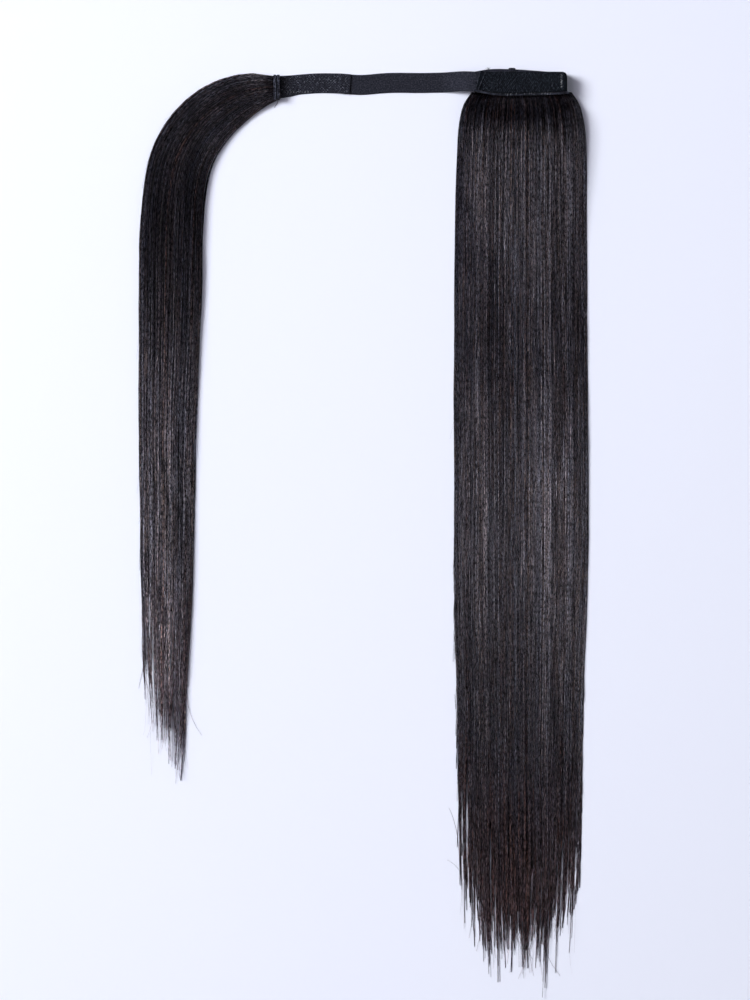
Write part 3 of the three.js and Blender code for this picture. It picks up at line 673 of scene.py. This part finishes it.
def hair_material(name):
    """Black hair: each thread has a tone, a tint and a shine of its own, and short glints: painted
    highlights in its colour, with matching bumps and shine.
    """
    look = HAIR_LOOKS[name]
    tree, shader = new_material(name)
    on_strip, along, _ = split(tree, node(tree, "ShaderNodeUVMap", uv_map="OFBake").outputs["UV"])
    strip = math_node(tree, "FLOOR", times(tree, on_strip, TONE_STRIPS))
    on_thread = stretched(tree, times(tree, strip, GRAIN_APART), times(tree, along, look["cycles"]))
    grain = noise(tree, on_thread, 1.0, 2.0)
    feed(tree, shader, {
        "Base Color": hair_colour(tree, strip, along, ramp(tree, grain, PAINTED_GLINTS), look),
        "Specular IOR Level": hair_shine(tree, strip, along, grain, look),
        "Specular Tint": ramp(tree, chance(tree, strip, 17.5), SHINE_TINTS),
        "Normal": bump(tree, grain, 1.0, 0.2 * MM),
        "Roughness": 0.28,
    })


DENSE_CYCLES = (170.0, 9.0)
DENSE_TONES = [
    (0.3, (0.0015, 0.0014, 0.0017)), (0.55, (0.003, 0.0028, 0.0034)), (0.75, (0.008, 0.007, 0.008)),
]


def dense_material():
    """The dense inside of a bundle: the same black hair, drawn as streaks on one surface."""
    tree, shader = new_material("dense_hair")
    place = split(tree, node(tree, "ShaderNodeUVMap", uv_map="OFBake").outputs["UV"])
    across, along = (times(tree, place[axis], DENSE_CYCLES[axis]) for axis in (0, 1))
    streaks = noise(tree, stretched(tree, across, along), 1.0, 6.0)
    feed(tree, shader, {
        "Base Color": ramp(tree, streaks, DENSE_TONES),
        "Normal": bump(tree, streaks, 0.8, 0.6 * MM),
        "Roughness": 0.6,
        "Specular IOR Level": 0.25,
    })


FALL_HAIR = dict(
    locks=150, each=17, aspect=0.3, rings=(9, 18, 8, 0.1, 0.9), deepest=0.1,
    settle=(0.75, 0.95), ends=FALL_ENDS, early=0.12, lock_uneven=0.012,
    clumps=27, clump_uneven=0.013, pull=(0.5, 0.92), pull_from=0.86, pull_to=0.96,
    lock_waves=(0.11, 0.2, 0.36), lock_sway=0.8 * MM, lock_bend=1.1 * MM,
    own_waves=(0.1, 0.16), own_sway=0.3 * MM, own_lift=0.28 * MM,
    spread=0.3 * MM, lift=0.3 * MM, drift=0.14 * MM, strays=0.05, stray_drift=9.0,
    radius=0.19 * MM, thick_spread=0.38, thick_range=(0.5, 2.1), thin_from=0.86, tip_thin=0.9,
)
WRAP_HAIR = dict(
    FALL_HAIR, locks=46, each=15, aspect=0.36, rings=(16, 20, 8, 0.34, 0.9), deepest=0.14,
    settle=(0.87, 1.0), ends=WRAP_ENDS, clumps=13, clump_uneven=0.01, pull=(0.4, 0.85),
    drift=0.16 * MM,
)
FALL_PARTS = 4


def make_hair():
    """The two bundles of strands, each over its dense inside."""
    random = np.random.default_rng(20)
    hair_material("black_hair")
    hair_material("black_wrap_hair")
    dense_material()
    threads = hair_paths(random, fall_guide, FALL_LENGTH, FALL_HAIR)
    order = random.permutation(len(threads[0]))
    for part in range(FALL_PARTS):
        chosen = order[part::FALL_PARTS]
        piece = strands(f"fall_strands_{part + 1}", *(values[chosen] for values in threads))
        dress(piece, "black_hair", "fall_hair", "hair_fall")
    dress(bundle_body("fall_inside", fall_guide, FALL_INSIDE), "dense_hair", "fall_hair", "hair_fall")
    threads = hair_paths(random, wrap_guide, WRAP["length"], WRAP_HAIR)
    dress(strands("wrap_strands", *threads), "black_wrap_hair", "wrap_hair", "wrap_strand")
    dress(bundle_body("wrap_inside", wrap_guide, WRAP_INSIDE), "dense_hair", "wrap_hair", "wrap_strand")


def make_loose_hair():
    """Fine hairs past the ends of both bundles, and loose ones beside them."""
    random = np.random.default_rng(33)
    hair_material("loose_hair")
    fall, wrap = ("fall_hair", "hair_fall"), ("wrap_hair", "wrap_strand")
    for name, places, threads in (
        ("fall_fine_ends", fall, fine_ends(random, fall_guide, FALL_ENDS, 130, 0.84, 4.2 * MM)),
        ("wrap_fine_ends", wrap, fine_ends(random, wrap_guide, WRAP_ENDS, 50, 0.8, 2.8 * MM)),
        ("fall_strays", fall, strays(random, fall_guide, 70, (0.0, 0.93), 2.6 * MM)),
        ("wrap_strays", wrap, strays(random, wrap_guide, 44, (0.05, 0.9), 2.4 * MM)),
    ):
        paths, radii, along = threads
        tones = random.integers(0, TONE_STRIPS, len(paths))
        piece = strands(name, paths, radii, tones, np.clip(on_map(along), *MAP_RANGE))
        dress(piece, "loose_hair", *places)


make_hair()
make_loose_hair()

# Studio. Each light has its place and what it points at, from the point that the camera aims at, its
# size, watts and colour, whether it is seen in reflections and whether it lights surfaces. The key
# light makes the sheen of the hair, and the upper light makes the shadows.
FLOOR_HALF = 4.0
FLOOR_COLOUR = (0.865, 0.89, 0.985, 1)
SKY = [
    (0.0, (0.98, 0.93, 1.0)), (0.1, (0.74, 0.71, 0.84)),
    (0.3, (0.11, 0.105, 0.125)), (1.0, (0.022, 0.021, 0.026)),
]
LIGHTS = {
    "key_light": ((-0.7, -0.08, 1.45), (1.4, -0.08, 0), (0.22, 0.9), 12.2, (1.0, 0.98, 0.97), True, False),
    "upper_light": ((-4.1, 1.6, 3.4), (0.8, -0.6, 0), (2.1, 2.1), 402.0, (0.955, 0.97, 1.0), False, True),
    "side_light": ((1.3, -0.08, 1.4), (0, -0.08, 0), (0.1, 0.8), 3.0, (0.96, 0.98, 1.0), True, True),
    "fill_light": ((-1.0, 0.3, 1.9), (0, -0.3, 0), (1.2, 1.2), 9.5, (0.91, 0.88, 1.0), True, True),
}


def make_floor():
    tree, shader = new_material("pale_floor")
    feed(tree, shader, {"Base Color": FLOOR_COLOUR, "Roughness": 0.9, "Specular IOR Level": 0.1})
    mesh = bpy.data.meshes.new("floor")
    corners = [(x * FLOOR_HALF, y * FLOOR_HALF, 0) for x, y in ((-1, -1), (1, -1), (1, 1), (-1, 1))]
    mesh.from_pydata(corners, [], [(0, 1, 2, 3)])
    mesh.materials.append(bpy.data.materials["pale_floor"])
    link(mesh, "floor")


def make_sky():
    world = bpy.data.worlds.new("world")
    bpy.context.scene.world = world
    world.use_nodes = True
    tree = world.node_tree
    direction = split(tree, node(tree, "ShaderNodeTexCoord").outputs["Generated"])
    feed(tree, tree.nodes["Background"], {"Color": ramp(tree, direction["Z"], SKY), "Strength": 1.0})


def make_lights():
    for name, (place, towards, size, watts, colour, reflected, lights_surfaces) in LIGHTS.items():
        data = bpy.data.lights.new(name, "AREA")
        data.shape = "RECTANGLE"
        data.size, data.size_y = size
        data.energy = watts
        data.color = colour
        light = link(data, name)
        light.location = AIM + Vector(place)
        light.rotation_euler = (Vector(towards) - Vector(place)).to_track_quat("-Z", "Y").to_euler()
        light.visible_glossy = reflected
        light.visible_diffuse = lights_surfaces
    bpy.context.scene.view_settings.view_transform = "Standard"


make_floor()
make_sky()
make_lights()

# Cloth and thread. Lengths here are in millimetres from the middle of the head and the strap's line.
STRAP_HALF = 8.0
STRAP_SAG = 4.0
HEAD_HALF = 35.0
RIBBON_Z = 9.9
RIBBON_THICKNESS = 1.0
RIBBON_SLOPE = 28.0
RIBBON_PEEK = 2.2
RIBBON_END = -140.5
LOOP_HALF = 36.5
LOOP_BOTTOM = -6.2
LOOP_SAG = 3.6
LOOP_Z = 11.2
LOOP_THICKNESS = 1.5
LOOP_CORNER = 4.0
LOOP_SLANT = 3.6
FOLD_WIDTH = 4.5
HOOK_LEFT = -194.5
HOOK_RIGHT = -136.3
HOOK_LAP = 6.0
BINDING_RIGHT = -190.1
BINDING_OUT = 2.6

STRAP_BOW = dict(
    along=[0, 0.05, 0.11, 0.2, 0.3, 0.42, 0.55, 0.75, 0.9, 1],
    bow=[0.62, 0.54, 0.33, 0.08, 0.1, 0.4, 0.02, 0, -0.14, -0.2],
)
RIBBON_RISE = dict(along=[0, 0.16, 0.38, 0.66, 0.84, 1], peek=[0.1, 0.95, 1, 0.45, 0, -0.3])
LOOP_EDGE = dict(
    along=[-0.5, -0.43, -0.3, -0.16, -0.03, 0.1, 0.25, 0.41, 0.5],
    sag=[0, 0.33, 0.81, 1, 0.98, 0.88, 0.8, 0.66, 0.5],
)

# Each cloth's dark, middle and light tones, its threads a metre and the scale of its grain, and
# where they differ from the others', how far the weave shows in the tones, and the fuzz.
CLOTHS = {
    "ribbon_cloth": ((0.008, 0.009, 0.0145), (0.0155, 0.0165, 0.0245), (0.034, 0.036, 0.049),
                     1400.0, 950.0),
    "hook_cloth": ((0.007, 0.0075, 0.0115), (0.0155, 0.0165, 0.0245), (0.03, 0.032, 0.045),
                   640.0, 900.0, 0.14),
    "hook_thread": ((0.012, 0.0125, 0.018), (0.045, 0.048, 0.064), (0.26, 0.27, 0.33), 300.0, 420.0),
    "loop_cloth": ((0.002, 0.0026, 0.0042), (0.0042, 0.0054, 0.008), (0.009, 0.0118, 0.0165),
                   470.0, 900.0, 0.06, 0.02),
    "loop_thread": ((0.007, 0.0088, 0.0125), (0.022, 0.027, 0.036), (0.07, 0.082, 0.105),
                    300.0, 600.0, 0.1, 0.02),
    "binding_cloth": ((0.002, 0.0022, 0.0038), (0.011, 0.0118, 0.0185), (0.08, 0.085, 0.115), 900.0, 800.0),
    "fold_cloth": ((0.008, 0.0095, 0.0135), (0.025, 0.028, 0.038), (0.05, 0.055, 0.072), 600.0, 620.0),
    "cord_cloth": ((0.004, 0.0045, 0.0085), (0.016, 0.018, 0.029), (0.06, 0.065, 0.09), 1200.0, 500.0),
    "stitch_thread": ((0.012, 0.013, 0.018), (0.028, 0.03, 0.038), (0.06, 0.062, 0.074), 2500.0, 900.0),
    "pale_thread": ((0.05, 0.055, 0.065), (0.16, 0.165, 0.18), (0.4, 0.41, 0.43), 2500.0, 500.0),
}


def cloth_material(name, dark, middle, light, weave, grain, woven=0.1, fuzz=0.06):
    """Woven cloth: warp and weft as waves of weave threads a metre, mottled between its tones."""
    tree, shader = new_material(name)
    place = node(tree, "ShaderNodeTexCoord").outputs["Object"]
    x, y, _ = split(tree, place)
    turns = 2 * math.pi * weave
    warp = math_node(tree, "SINE", times(tree, x, turns))
    weft = math_node(tree, "SINE", times(tree, y, turns * 0.8))
    mottle = noise(tree, place, grain, 3.0)
    tone = math_node(tree, "ADD", mottle, times(tree, times(tree, warp, weft), woven))
    feed(tree, shader, {
        "Base Color": ramp(tree, tone, [(0.36, dark), (0.5, middle), (0.66, light)]),
        "Roughness": grey_ramp(tree, mottle, [(0.3, 0.95), (0.7, 0.75)]),
        "Normal": bump(tree, tone, 1.0, 0.1 * MM),
        "Specular IOR Level": 3 * fuzz,
        "Sheen Weight": fuzz,
        "Sheen Roughness": 0.5,
    })


def at(x, y, z):
    x, y, z = np.broadcast_arrays(x, y, z)
    return np.stack([HEAD_X + x * MM, STRAP_Y + y * MM, z * MM], axis=-1)


def strap_middle(x):
    along = np.clip((x - HOOK_LEFT) / (-LOOP_HALF - HOOK_LEFT), 0, 1)
    return -STRAP_SAG * smooth_lookup(STRAP_BOW, "bow", along)


def lower_edge(x):
    """The loop tape's lower edge, which sags."""
    inside = np.clip(x, -LOOP_HALF, LOOP_HALF) / (2 * LOOP_HALF)
    return LOOP_BOTTOM - LOOP_SAG * smooth_lookup(LOOP_EDGE, "sag", inside)


def ribbon_rows(x):
    """Middle of the ribbon's underside: it climbs to the head and peeks out over the loop tape."""
    climb = smoothstep(-LOOP_HALF - RIBBON_SLOPE, -LOOP_HALF, x) * RIBBON_Z
    on_head = np.clip((x + LOOP_HALF) / (HEAD_HALF + LOOP_HALF), 0, 1)
    peek = smooth_lookup(RIBBON_RISE, "peek", on_head)
    top = LOOP_TOP + RIBBON_PEEK * peek
    joined = smoothstep(-LOOP_HALF - RIBBON_SLOPE / 2, -LOOP_HALF + 2, x)
    return at(x, strap_middle(x) * (1 - joined) + (top - STRAP_HALF) * joined, climb)


def hook_rows(x, aside=0.0, above=0.0):
    """Middle of the hook tape's underside: it rests on the binding's lip and on the ribbon's end."""
    lip, ribbon_top, settling = 0.9, 1.3, 10
    settled = smoothstep(BINDING_RIGHT, BINDING_RIGHT + settling, x)
    on_ribbon = smoothstep(HOOK_RIGHT - HOOK_LAP - settling, HOOK_RIGHT - HOOK_LAP - 0.3, x)
    height = lip * (1 - settled) + ribbon_top * on_ribbon
    return at(x, strap_middle(x) + aside, height + above)


def frames(centre):
    """Directions across and up for a strip's rows, level across."""
    run = np.gradient(centre, axis=0)
    across = unit(np.stack([-run[:, 1], run[:, 0], np.zeros(len(run))], axis=-1))
    return across, unit(np.cross(run, across))


SLAB_STEPS = 14
SLAB_EDGE = 0.985
UNDER_REACH = [1.0, 0.9, 0.0, -0.9, -1.0]
UNDER_HEIGHT = [0.5, 0.0, 0.0, 0.0, 0.5]


def slab(name, centre, across, up, low, high, thickness, relief=0.0, steps=SLAB_STEPS):
    """A strip of cloth along rows of points: its edges are rounded, and relief, in metres,
    is added to its face. low, high and thickness are in millimetres, one for each row."""
    rows = len(centre)
    low, high, thickness = (np.broadcast_to(value, rows)[:, None] * MM for value in (low, high, thickness))
    across, up = np.broadcast_to(across, (rows, 3)), np.broadcast_to(up, (rows, 3))
    share = np.linspace(-SLAB_EDGE, SLAB_EDGE, steps)[None, :]
    face = thickness * (1 - 0.3 * np.abs(share) ** 10) + relief * (1 - np.abs(share) ** 12)
    reach = np.broadcast_to(np.concatenate([share[0], UNDER_REACH]), (rows, steps + len(UNDER_REACH)))
    height = np.concatenate([face, thickness * np.array([UNDER_HEIGHT])], axis=1)
    offset = np.where(reach < 0, low, high) * reach
    points = centre[:, None] + across[:, None] * offset[..., None] + up[:, None] * height[..., None]
    faces = skin_faces(rows, reach.shape[1])
    if np.dot(np.cross(centre[-1] - centre[0], across[0]), up[0]) > 0:
        faces = [face[:, ::-1] for face in faces]
    return quick_mesh(name, points, faces)


def cord(name, paths, radius, sides, *look, facing=UP):
    """Threads of one radius, in millimetres, dressed."""
    radii = np.full(paths.shape[:2], radius * MM)
    dress(quick_mesh(name, *tube_faces(paths, radii, sides, facing)), *look)


def sew(name, starts, ends, radius, rise, thread="stitch_thread"):
    """Short raised stitches from starts to ends. radius and rise are in millimetres."""
    share = np.linspace(0, 1, 5)[None, :, None]
    paths = starts[:, None] + (ends - starts)[:, None] * share
    arch = np.sin(share[..., 0] * math.pi)
    paths[..., 2] += arch * rise * MM
    radii = np.broadcast_to((0.55 + 0.45 * arch) * radius * MM, paths.shape[:2])
    dress(quick_mesh(name, *tube_faces(paths, radii, 5)), thread, "thread")


def small_loops(name, foot, out, rise, turn, radii, thread, slot_name):
    """Small bent threads standing on their feet, each turned its own way."""
    turned = [out * np.cos(turn)[:, None], out * np.sin(turn)[:, None], rise]
    facing = np.stack([-np.sin(turn), np.cos(turn), np.zeros(len(turn))], -1)[:, None]
    tubes = tube_faces(np.stack(turned, -1) + foot[:, None], radii, 4, facing)
    dress(quick_mesh(name, *tubes), thread, slot_name)


def make_ribbon():
    """Ribbon with cross ribs and a slight wave, and a stitched line along both edges."""
    rib_height, rib_pitch = 0.045, 0.9
    wave_height, wave_length = 0.12, 11
    stitch_pitch, stitch_length, stitch_height = 2.6, 1.7, 1.0
    x = np.linspace(RIBBON_END, HEAD_HALF, 780)
    centre = ribbon_rows(x)
    ribs = rib_height * MM * np.sin(x * 2 * math.pi / rib_pitch)[:, None]
    tilt = np.linspace(-1, 1, SLAB_STEPS)[None, :]
    wave = wave_height * MM * np.sin(x / wave_length)[:, None] * tilt
    piece = slab("ribbon", centre, *frames(centre), STRAP_HALF, STRAP_HALF, RIBBON_THICKNESS, ribs + wave)
    dress(piece, "ribbon_cloth", "ribbon", "ribbon_strap")
    begin = np.arange(RIBBON_END + 4, -LOOP_HALF - 1, stitch_pitch)
    for name, edge in (("ribbon_upper_stitches", 6.9), ("ribbon_lower_stitches", -6.7)):
        ends = []
        for places in (begin, begin + stitch_length):
            middle = ribbon_rows(places)
            side, above = frames(middle)
            ends.append(middle + side * edge * MM + above * stitch_height * MM)
        sew(name, *ends, 0.13, 0.08)


HOOK_SHAPE = np.array([(0, 0), (0.02, 0.3), (0.1, 0.52), (0.28, 0.66), (0.48, 0.6), (0.56, 0.42)]) * MM


def make_hook_tape(random):
    """Hook tape: a base cloth that flares at its left end, rows of small hooks, and stitches."""
    thickness, roughness = 0.75, 0.03
    flare_width, flare_over = 1.8, (HOOK_LEFT + 2, HOOK_LEFT + 19)
    hook_pitch, hook_scatter, hook_foot, hook_turn = 1.2, 0.18, 0.7, 0.35
    x = np.linspace(HOOK_LEFT, HOOK_RIGHT, 121)
    centre = hook_rows(x)
    flare = (1 - smoothstep(*flare_over, x)) * flare_width
    grain = random.normal(0, roughness, (len(x), SLAB_STEPS)) * MM
    piece = slab("hook_base", centre, *frames(centre), STRAP_HALF + flare, STRAP_HALF, thickness, grain)
    dress(piece, "hook_cloth", "hook_tape", "hook_tape")

    columns = np.arange(BINDING_RIGHT - hook_pitch, HOOK_RIGHT - hook_pitch, hook_pitch)
    x, y = (value.reshape(-1) for value in np.meshgrid(columns, np.arange(-6.6, 7.0, hook_pitch)))
    count = len(x)
    x = x + np.tile([0.0, hook_pitch / 2], count)[:count] + random.normal(0, hook_scatter, count)
    y = y + random.normal(0, hook_scatter, count)
    turn = random.normal(0, hook_turn, count) + math.pi * random.integers(0, 2, count)
    size = random.uniform(0.8, 1.15, count)[:, None]
    out, rise = HOOK_SHAPE[None, :, 0] * size, HOOK_SHAPE[None, :, 1] * size
    radii = np.repeat(random.uniform(0.1, 0.2, count)[:, None], len(HOOK_SHAPE), axis=1) * MM
    small_loops("hooks", hook_rows(x, y, hook_foot), out, rise, turn, radii, "hook_thread", "hook_tape")

    begin = np.arange(HOOK_LEFT + 5, HOOK_RIGHT - 2, 2.2)
    for name, edge in (("hook_upper_stitches", 7.3), ("hook_lower_stitches", -7.4)):
        sew(name, *(hook_rows(places, edge, 0.8) for places in (begin, begin + 1.5)), 0.16, 0.1)
    begin = np.arange(HOOK_LEFT + 5.5, HOOK_LEFT + 27, 2.3)
    edge = -5.2 - 1.4 * smoothstep(HOOK_LEFT + 4, HOOK_LEFT + 26, begin)
    ends = (hook_rows(places, edge, 1.15) for places in (begin, begin + 1.0))
    sew("hook_corner_stitches", *ends, 0.3, 0.15, "pale_thread")


def make_loop_face(random):
    """Loop tape's face: slanted at the left, rounded at its upper right corner and bent over there."""
    bend_from, bend_over, roughness, steps = 1.3, 1.35, 0.04, 22
    x = np.concatenate([np.linspace(-LOOP_HALF + 0.1, -LOOP_HALF + LOOP_SLANT, 8, endpoint=False),
                        np.linspace(-LOOP_HALF + LOOP_SLANT, LOOP_HALF - LOOP_CORNER, 90, endpoint=False),
                        np.linspace(LOOP_HALF - LOOP_CORNER, LOOP_HALF - 0.02, 14)])
    slanted = LOOP_BOTTOM + (x + LOOP_HALF) * (LOOP_TOP - LOOP_BOTTOM) / LOOP_SLANT
    past_corner = np.maximum(x - (LOOP_HALF - LOOP_CORNER), 0)
    rounded = LOOP_TOP - LOOP_CORNER + np.sqrt(np.maximum(LOOP_CORNER**2 - past_corner**2, 0))
    bend = np.sqrt(np.clip(1 - (np.maximum(x - LOOP_HALF + bend_from, 0) / bend_over) ** 2, 0.05, 1))
    pillow = random.normal(0, roughness, (len(x), steps)) * MM
    piece = slab("loop_face", at(x, 0, LOOP_Z), ACROSS, UP, -lower_edge(x), np.minimum(slanted, rounded),
                 LOOP_THICKNESS * bend, pillow, steps)
    dress(piece, "loop_cloth", "loop_tape", "loop_tape")


def make_loop_ends():
    """Loop tape's slanted fold on the left, and its end turned down on the right."""
    fold_thickness, edge_height, edge_in = 1.6, 1.5, 0.9
    share = np.linspace(0, 1, 16)
    foot_x, foot_y = -LOOP_HALF + FOLD_WIDTH / 4, LOOP_BOTTOM - 0.1
    head_x, head_y = -LOOP_HALF + LOOP_SLANT + FOLD_WIDTH / 2, LOOP_TOP + 0.1
    centre = at(foot_x + (head_x - foot_x) * share, foot_y + (head_y - foot_y) * share, LOOP_Z + 0.5)
    across, up = frames(centre)
    half = FOLD_WIDTH / 4 + share * FOLD_WIDTH / 4
    dress(slab("loop_fold", centre, across, up, half, half, fold_thickness), "loop_cloth", "loop_tape")
    edge = across * half[:, None] * edge_in * MM
    edges = np.stack([centre + edge, centre - edge]) + up * edge_height * MM
    cord("fold_edges", edges, 0.35, 6, "fold_cloth", "loop_tape")
    centre = at(LOOP_HALF - 1.2, -1.85, np.linspace(3.2, 11.9, 12))
    dress(slab("loop_end", centre, ACROSS, RIGHT, 5.55, 5.55, 1.2), "loop_cloth", "loop_tape")


def make_loop_pile(random):
    """Loop tape's pile, in rows from its lower edge to its top, and the seam at its right end."""
    columns, rows, pitch, margin = 39, 13, 1.65, 0.8
    column, row = (value.reshape(-1) for value in np.meshgrid(np.arange(columns), np.arange(rows)))
    count = len(column)
    x = -LOOP_HALF + 6.5 + (column + 0.5 * (row % 2)) * pitch + random.normal(0, 0.12, count)
    low = lower_edge(x) + margin
    y = low + (LOOP_TOP - margin - low) * (row + 0.5) / rows + random.normal(0, 0.1, count)
    turn = math.pi / 2 + random.normal(0, 0.5, count)
    arc = np.linspace(0, math.pi, 8)[None, :]
    out = -np.cos(arc) * random.uniform(0.35, 0.65, count)[:, None] * MM
    rise = np.sin(arc) * random.uniform(0.25, 0.5, count)[:, None] * MM
    foot = at(x, y, LOOP_Z + LOOP_THICKNESS - 0.1)
    radii = np.full(out.shape, 0.23 * MM)
    small_loops("loop_pile", foot, out, rise, turn, radii, "loop_thread", "loop_tape")
    step = np.arange(11)
    zigzag = at(32.0 + 0.8 * (step % 2 * 2 - 1), 5.6 - step * 1.05, LOOP_Z + LOOP_THICKNESS + 0.15)
    sewn = np.array([True, True, True, False, True, True, True, True, False, True])
    sew("end_seam", zigzag[:-1][sewn], zigzag[1:][sewn], 0.24, 0.12, "pale_thread")


def make_piping(random):
    """Piping: two plies twisted together, and the stitches that hold it down, some of them pale."""
    half, twists, ply_offset, below, height = 38.1, 32, 0.38, 1.15, 12.05
    share = np.linspace(0, 1, 300)
    x = -half + 2 * half * share
    y = lower_edge(x) - below
    angles = (share * twists * 2 * math.pi + phase for phase in (0, math.pi))
    plies = np.stack([at(x, y + ply_offset * np.cos(angle), height + ply_offset * np.sin(angle))
                      for angle in angles])
    cord("piping", plies, 0.5, 7, "cord_cloth", "piping", "edge_piping")
    begin = np.arange(-34, 36, 2.1)
    begin = begin + random.normal(0, 0.3, len(begin))
    starts = at(begin, lower_edge(begin) - 1.7, 12.6)
    ends = at(begin + 0.7, lower_edge(begin) + 0.3, 12.85)
    pale = (begin > -18) & (begin < 24) & (random.uniform(0, 1, len(begin)) < 0.6)
    sew("piping_stitches", starts[~pale], ends[~pale], 0.17, 0.3)
    sew("piping_flecks", starts[pale], ends[pale], 0.17, 0.3, "pale_thread")


def make_tab(random):
    """End tab, and the tuft of thread beside it."""
    rows = 14
    low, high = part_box("end_tab")
    centre = np.stack([np.linspace(low.x, high.x, rows), np.full(rows, (low.y + high.y) / 2),
                       np.full(rows, low.z)], -1)
    rounding = np.sqrt(np.clip(1 - (np.abs(np.linspace(-1, 1, rows)) ** 6), 0.3, 1))
    half = (high.y - low.y) / 2 * rounding / MM
    piece = slab("tab", centre, ACROSS, UP, half, half, (high.z - low.z) / MM)
    dress(piece, "ribbon_cloth", "ribbon", "end_tab")
    share = np.linspace(0, 1, 8)[None, :]
    each = (7, 1)
    lean = random.normal(0, 1, each)
    length = random.uniform(1.2, 2.6, each)
    tuft = at(-26.2 + lean * 0.3 + lean * share * 0.9, 8.8 + share * length, 11.0 + share * 0.8)
    cord("tuft", tuft, 0.1, 4, "stitch_thread", "thread")


def make_binding():
    """Binding: thread wound round the strap's end in two ridges over a sleeve, and its loose end."""
    low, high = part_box("root_binding")
    low.x -= BINDING_OUT * MM
    high.x -= BINDING_OUT * MM
    centre_y, half_y, half_z = (high.y + low.y) / 2, (high.y - low.y) / 2, (high.z - low.z) / 2

    def wound(x, angle, inwards):
        across, up = np.cos(angle), np.sin(angle)
        y = centre_y + (half_y - inwards * MM) * np.sign(across) * np.abs(across) ** 0.5
        z = half_z + (half_z - inwards * MM) * np.sign(up) * np.abs(up) ** 0.5
        return np.stack(np.broadcast_arrays(x, y, z), -1)

    turns, pitch, inset = 4.5, 0.36, 0.3
    angle = np.linspace(0, turns * 2 * math.pi, 260)
    ridges = [wound(begin + along * angle / (2 * math.pi) * pitch * MM, angle, inset)
              for begin, along in ((low.x + inset * MM, 1), (high.x - inset * MM, -1))]
    look = ("binding_cloth", "thread", "root_binding")
    cord("binding_thread", np.stack(ridges), 0.34, 6, *look, facing=RIGHT)
    rows, around = 6, 48
    angle = np.linspace(0, 2 * math.pi, around, endpoint=False)[None, :]
    sleeve = wound(np.linspace(low.x + 0.1 * MM, high.x - 0.1 * MM, rows)[:, None], angle, 0.55)
    dress(quick_mesh("binding_sleeve", sleeve, skin_faces(rows, around)), "loop_cloth", "thread")
    share = np.linspace(0, 1, 16)
    loose = at(-194.6 - 1.6 * share + 0.7 * np.sin(share * 5), -13.2 - 6.6 * share, 1.2 - 0.9 * share)
    cord("loose_thread", loose[None], 0.16, 5, "stitch_thread", "thread")


def make_wefts(random):
    """Head: sewn weft rows, one over another, under the tapes."""
    weft_rows, rise, thickness, points = 4, 2.38, 2.3, 60
    low, high, seam, pitch, zigzag, stagger = 8.8, 7.2, 7.35, 1.3, 0.75, 0.25
    for row in range(weft_rows):
        offset = stagger * (row % 2)
        y = random.normal(0, 0.12, points) + offset
        centre = at(np.linspace(-HEAD_HALF, HEAD_HALF, points), y, row * rise + 0.05)
        piece = slab(f"weft_row_{row + 1}", centre, ACROSS, UP, low, high, thickness)
        dress(piece, "ribbon_cloth", "fall_hair", "hair_fall")
        step = np.arange(int(2 * HEAD_HALF / pitch))
        height = row * rise + 1.2 + zigzag * (step % 2 * 2 - 1)
        zig = at(-HEAD_HALF + 0.6 + step * pitch, seam + offset, height)
        sew(f"weft_seam_{row + 1}", zig[:-1], zig[1:], 0.16, 0.0)


def make_textiles():
    random = np.random.default_rng(7)
    for name, look in CLOTHS.items():
        cloth_material(name, *look)
    make_ribbon()
    make_hook_tape(random)
    make_loop_face(random)
    make_loop_ends()
    make_loop_pile(random)
    make_piping(random)
    make_tab(random)
    make_binding()
    make_wefts(random)


make_textiles()
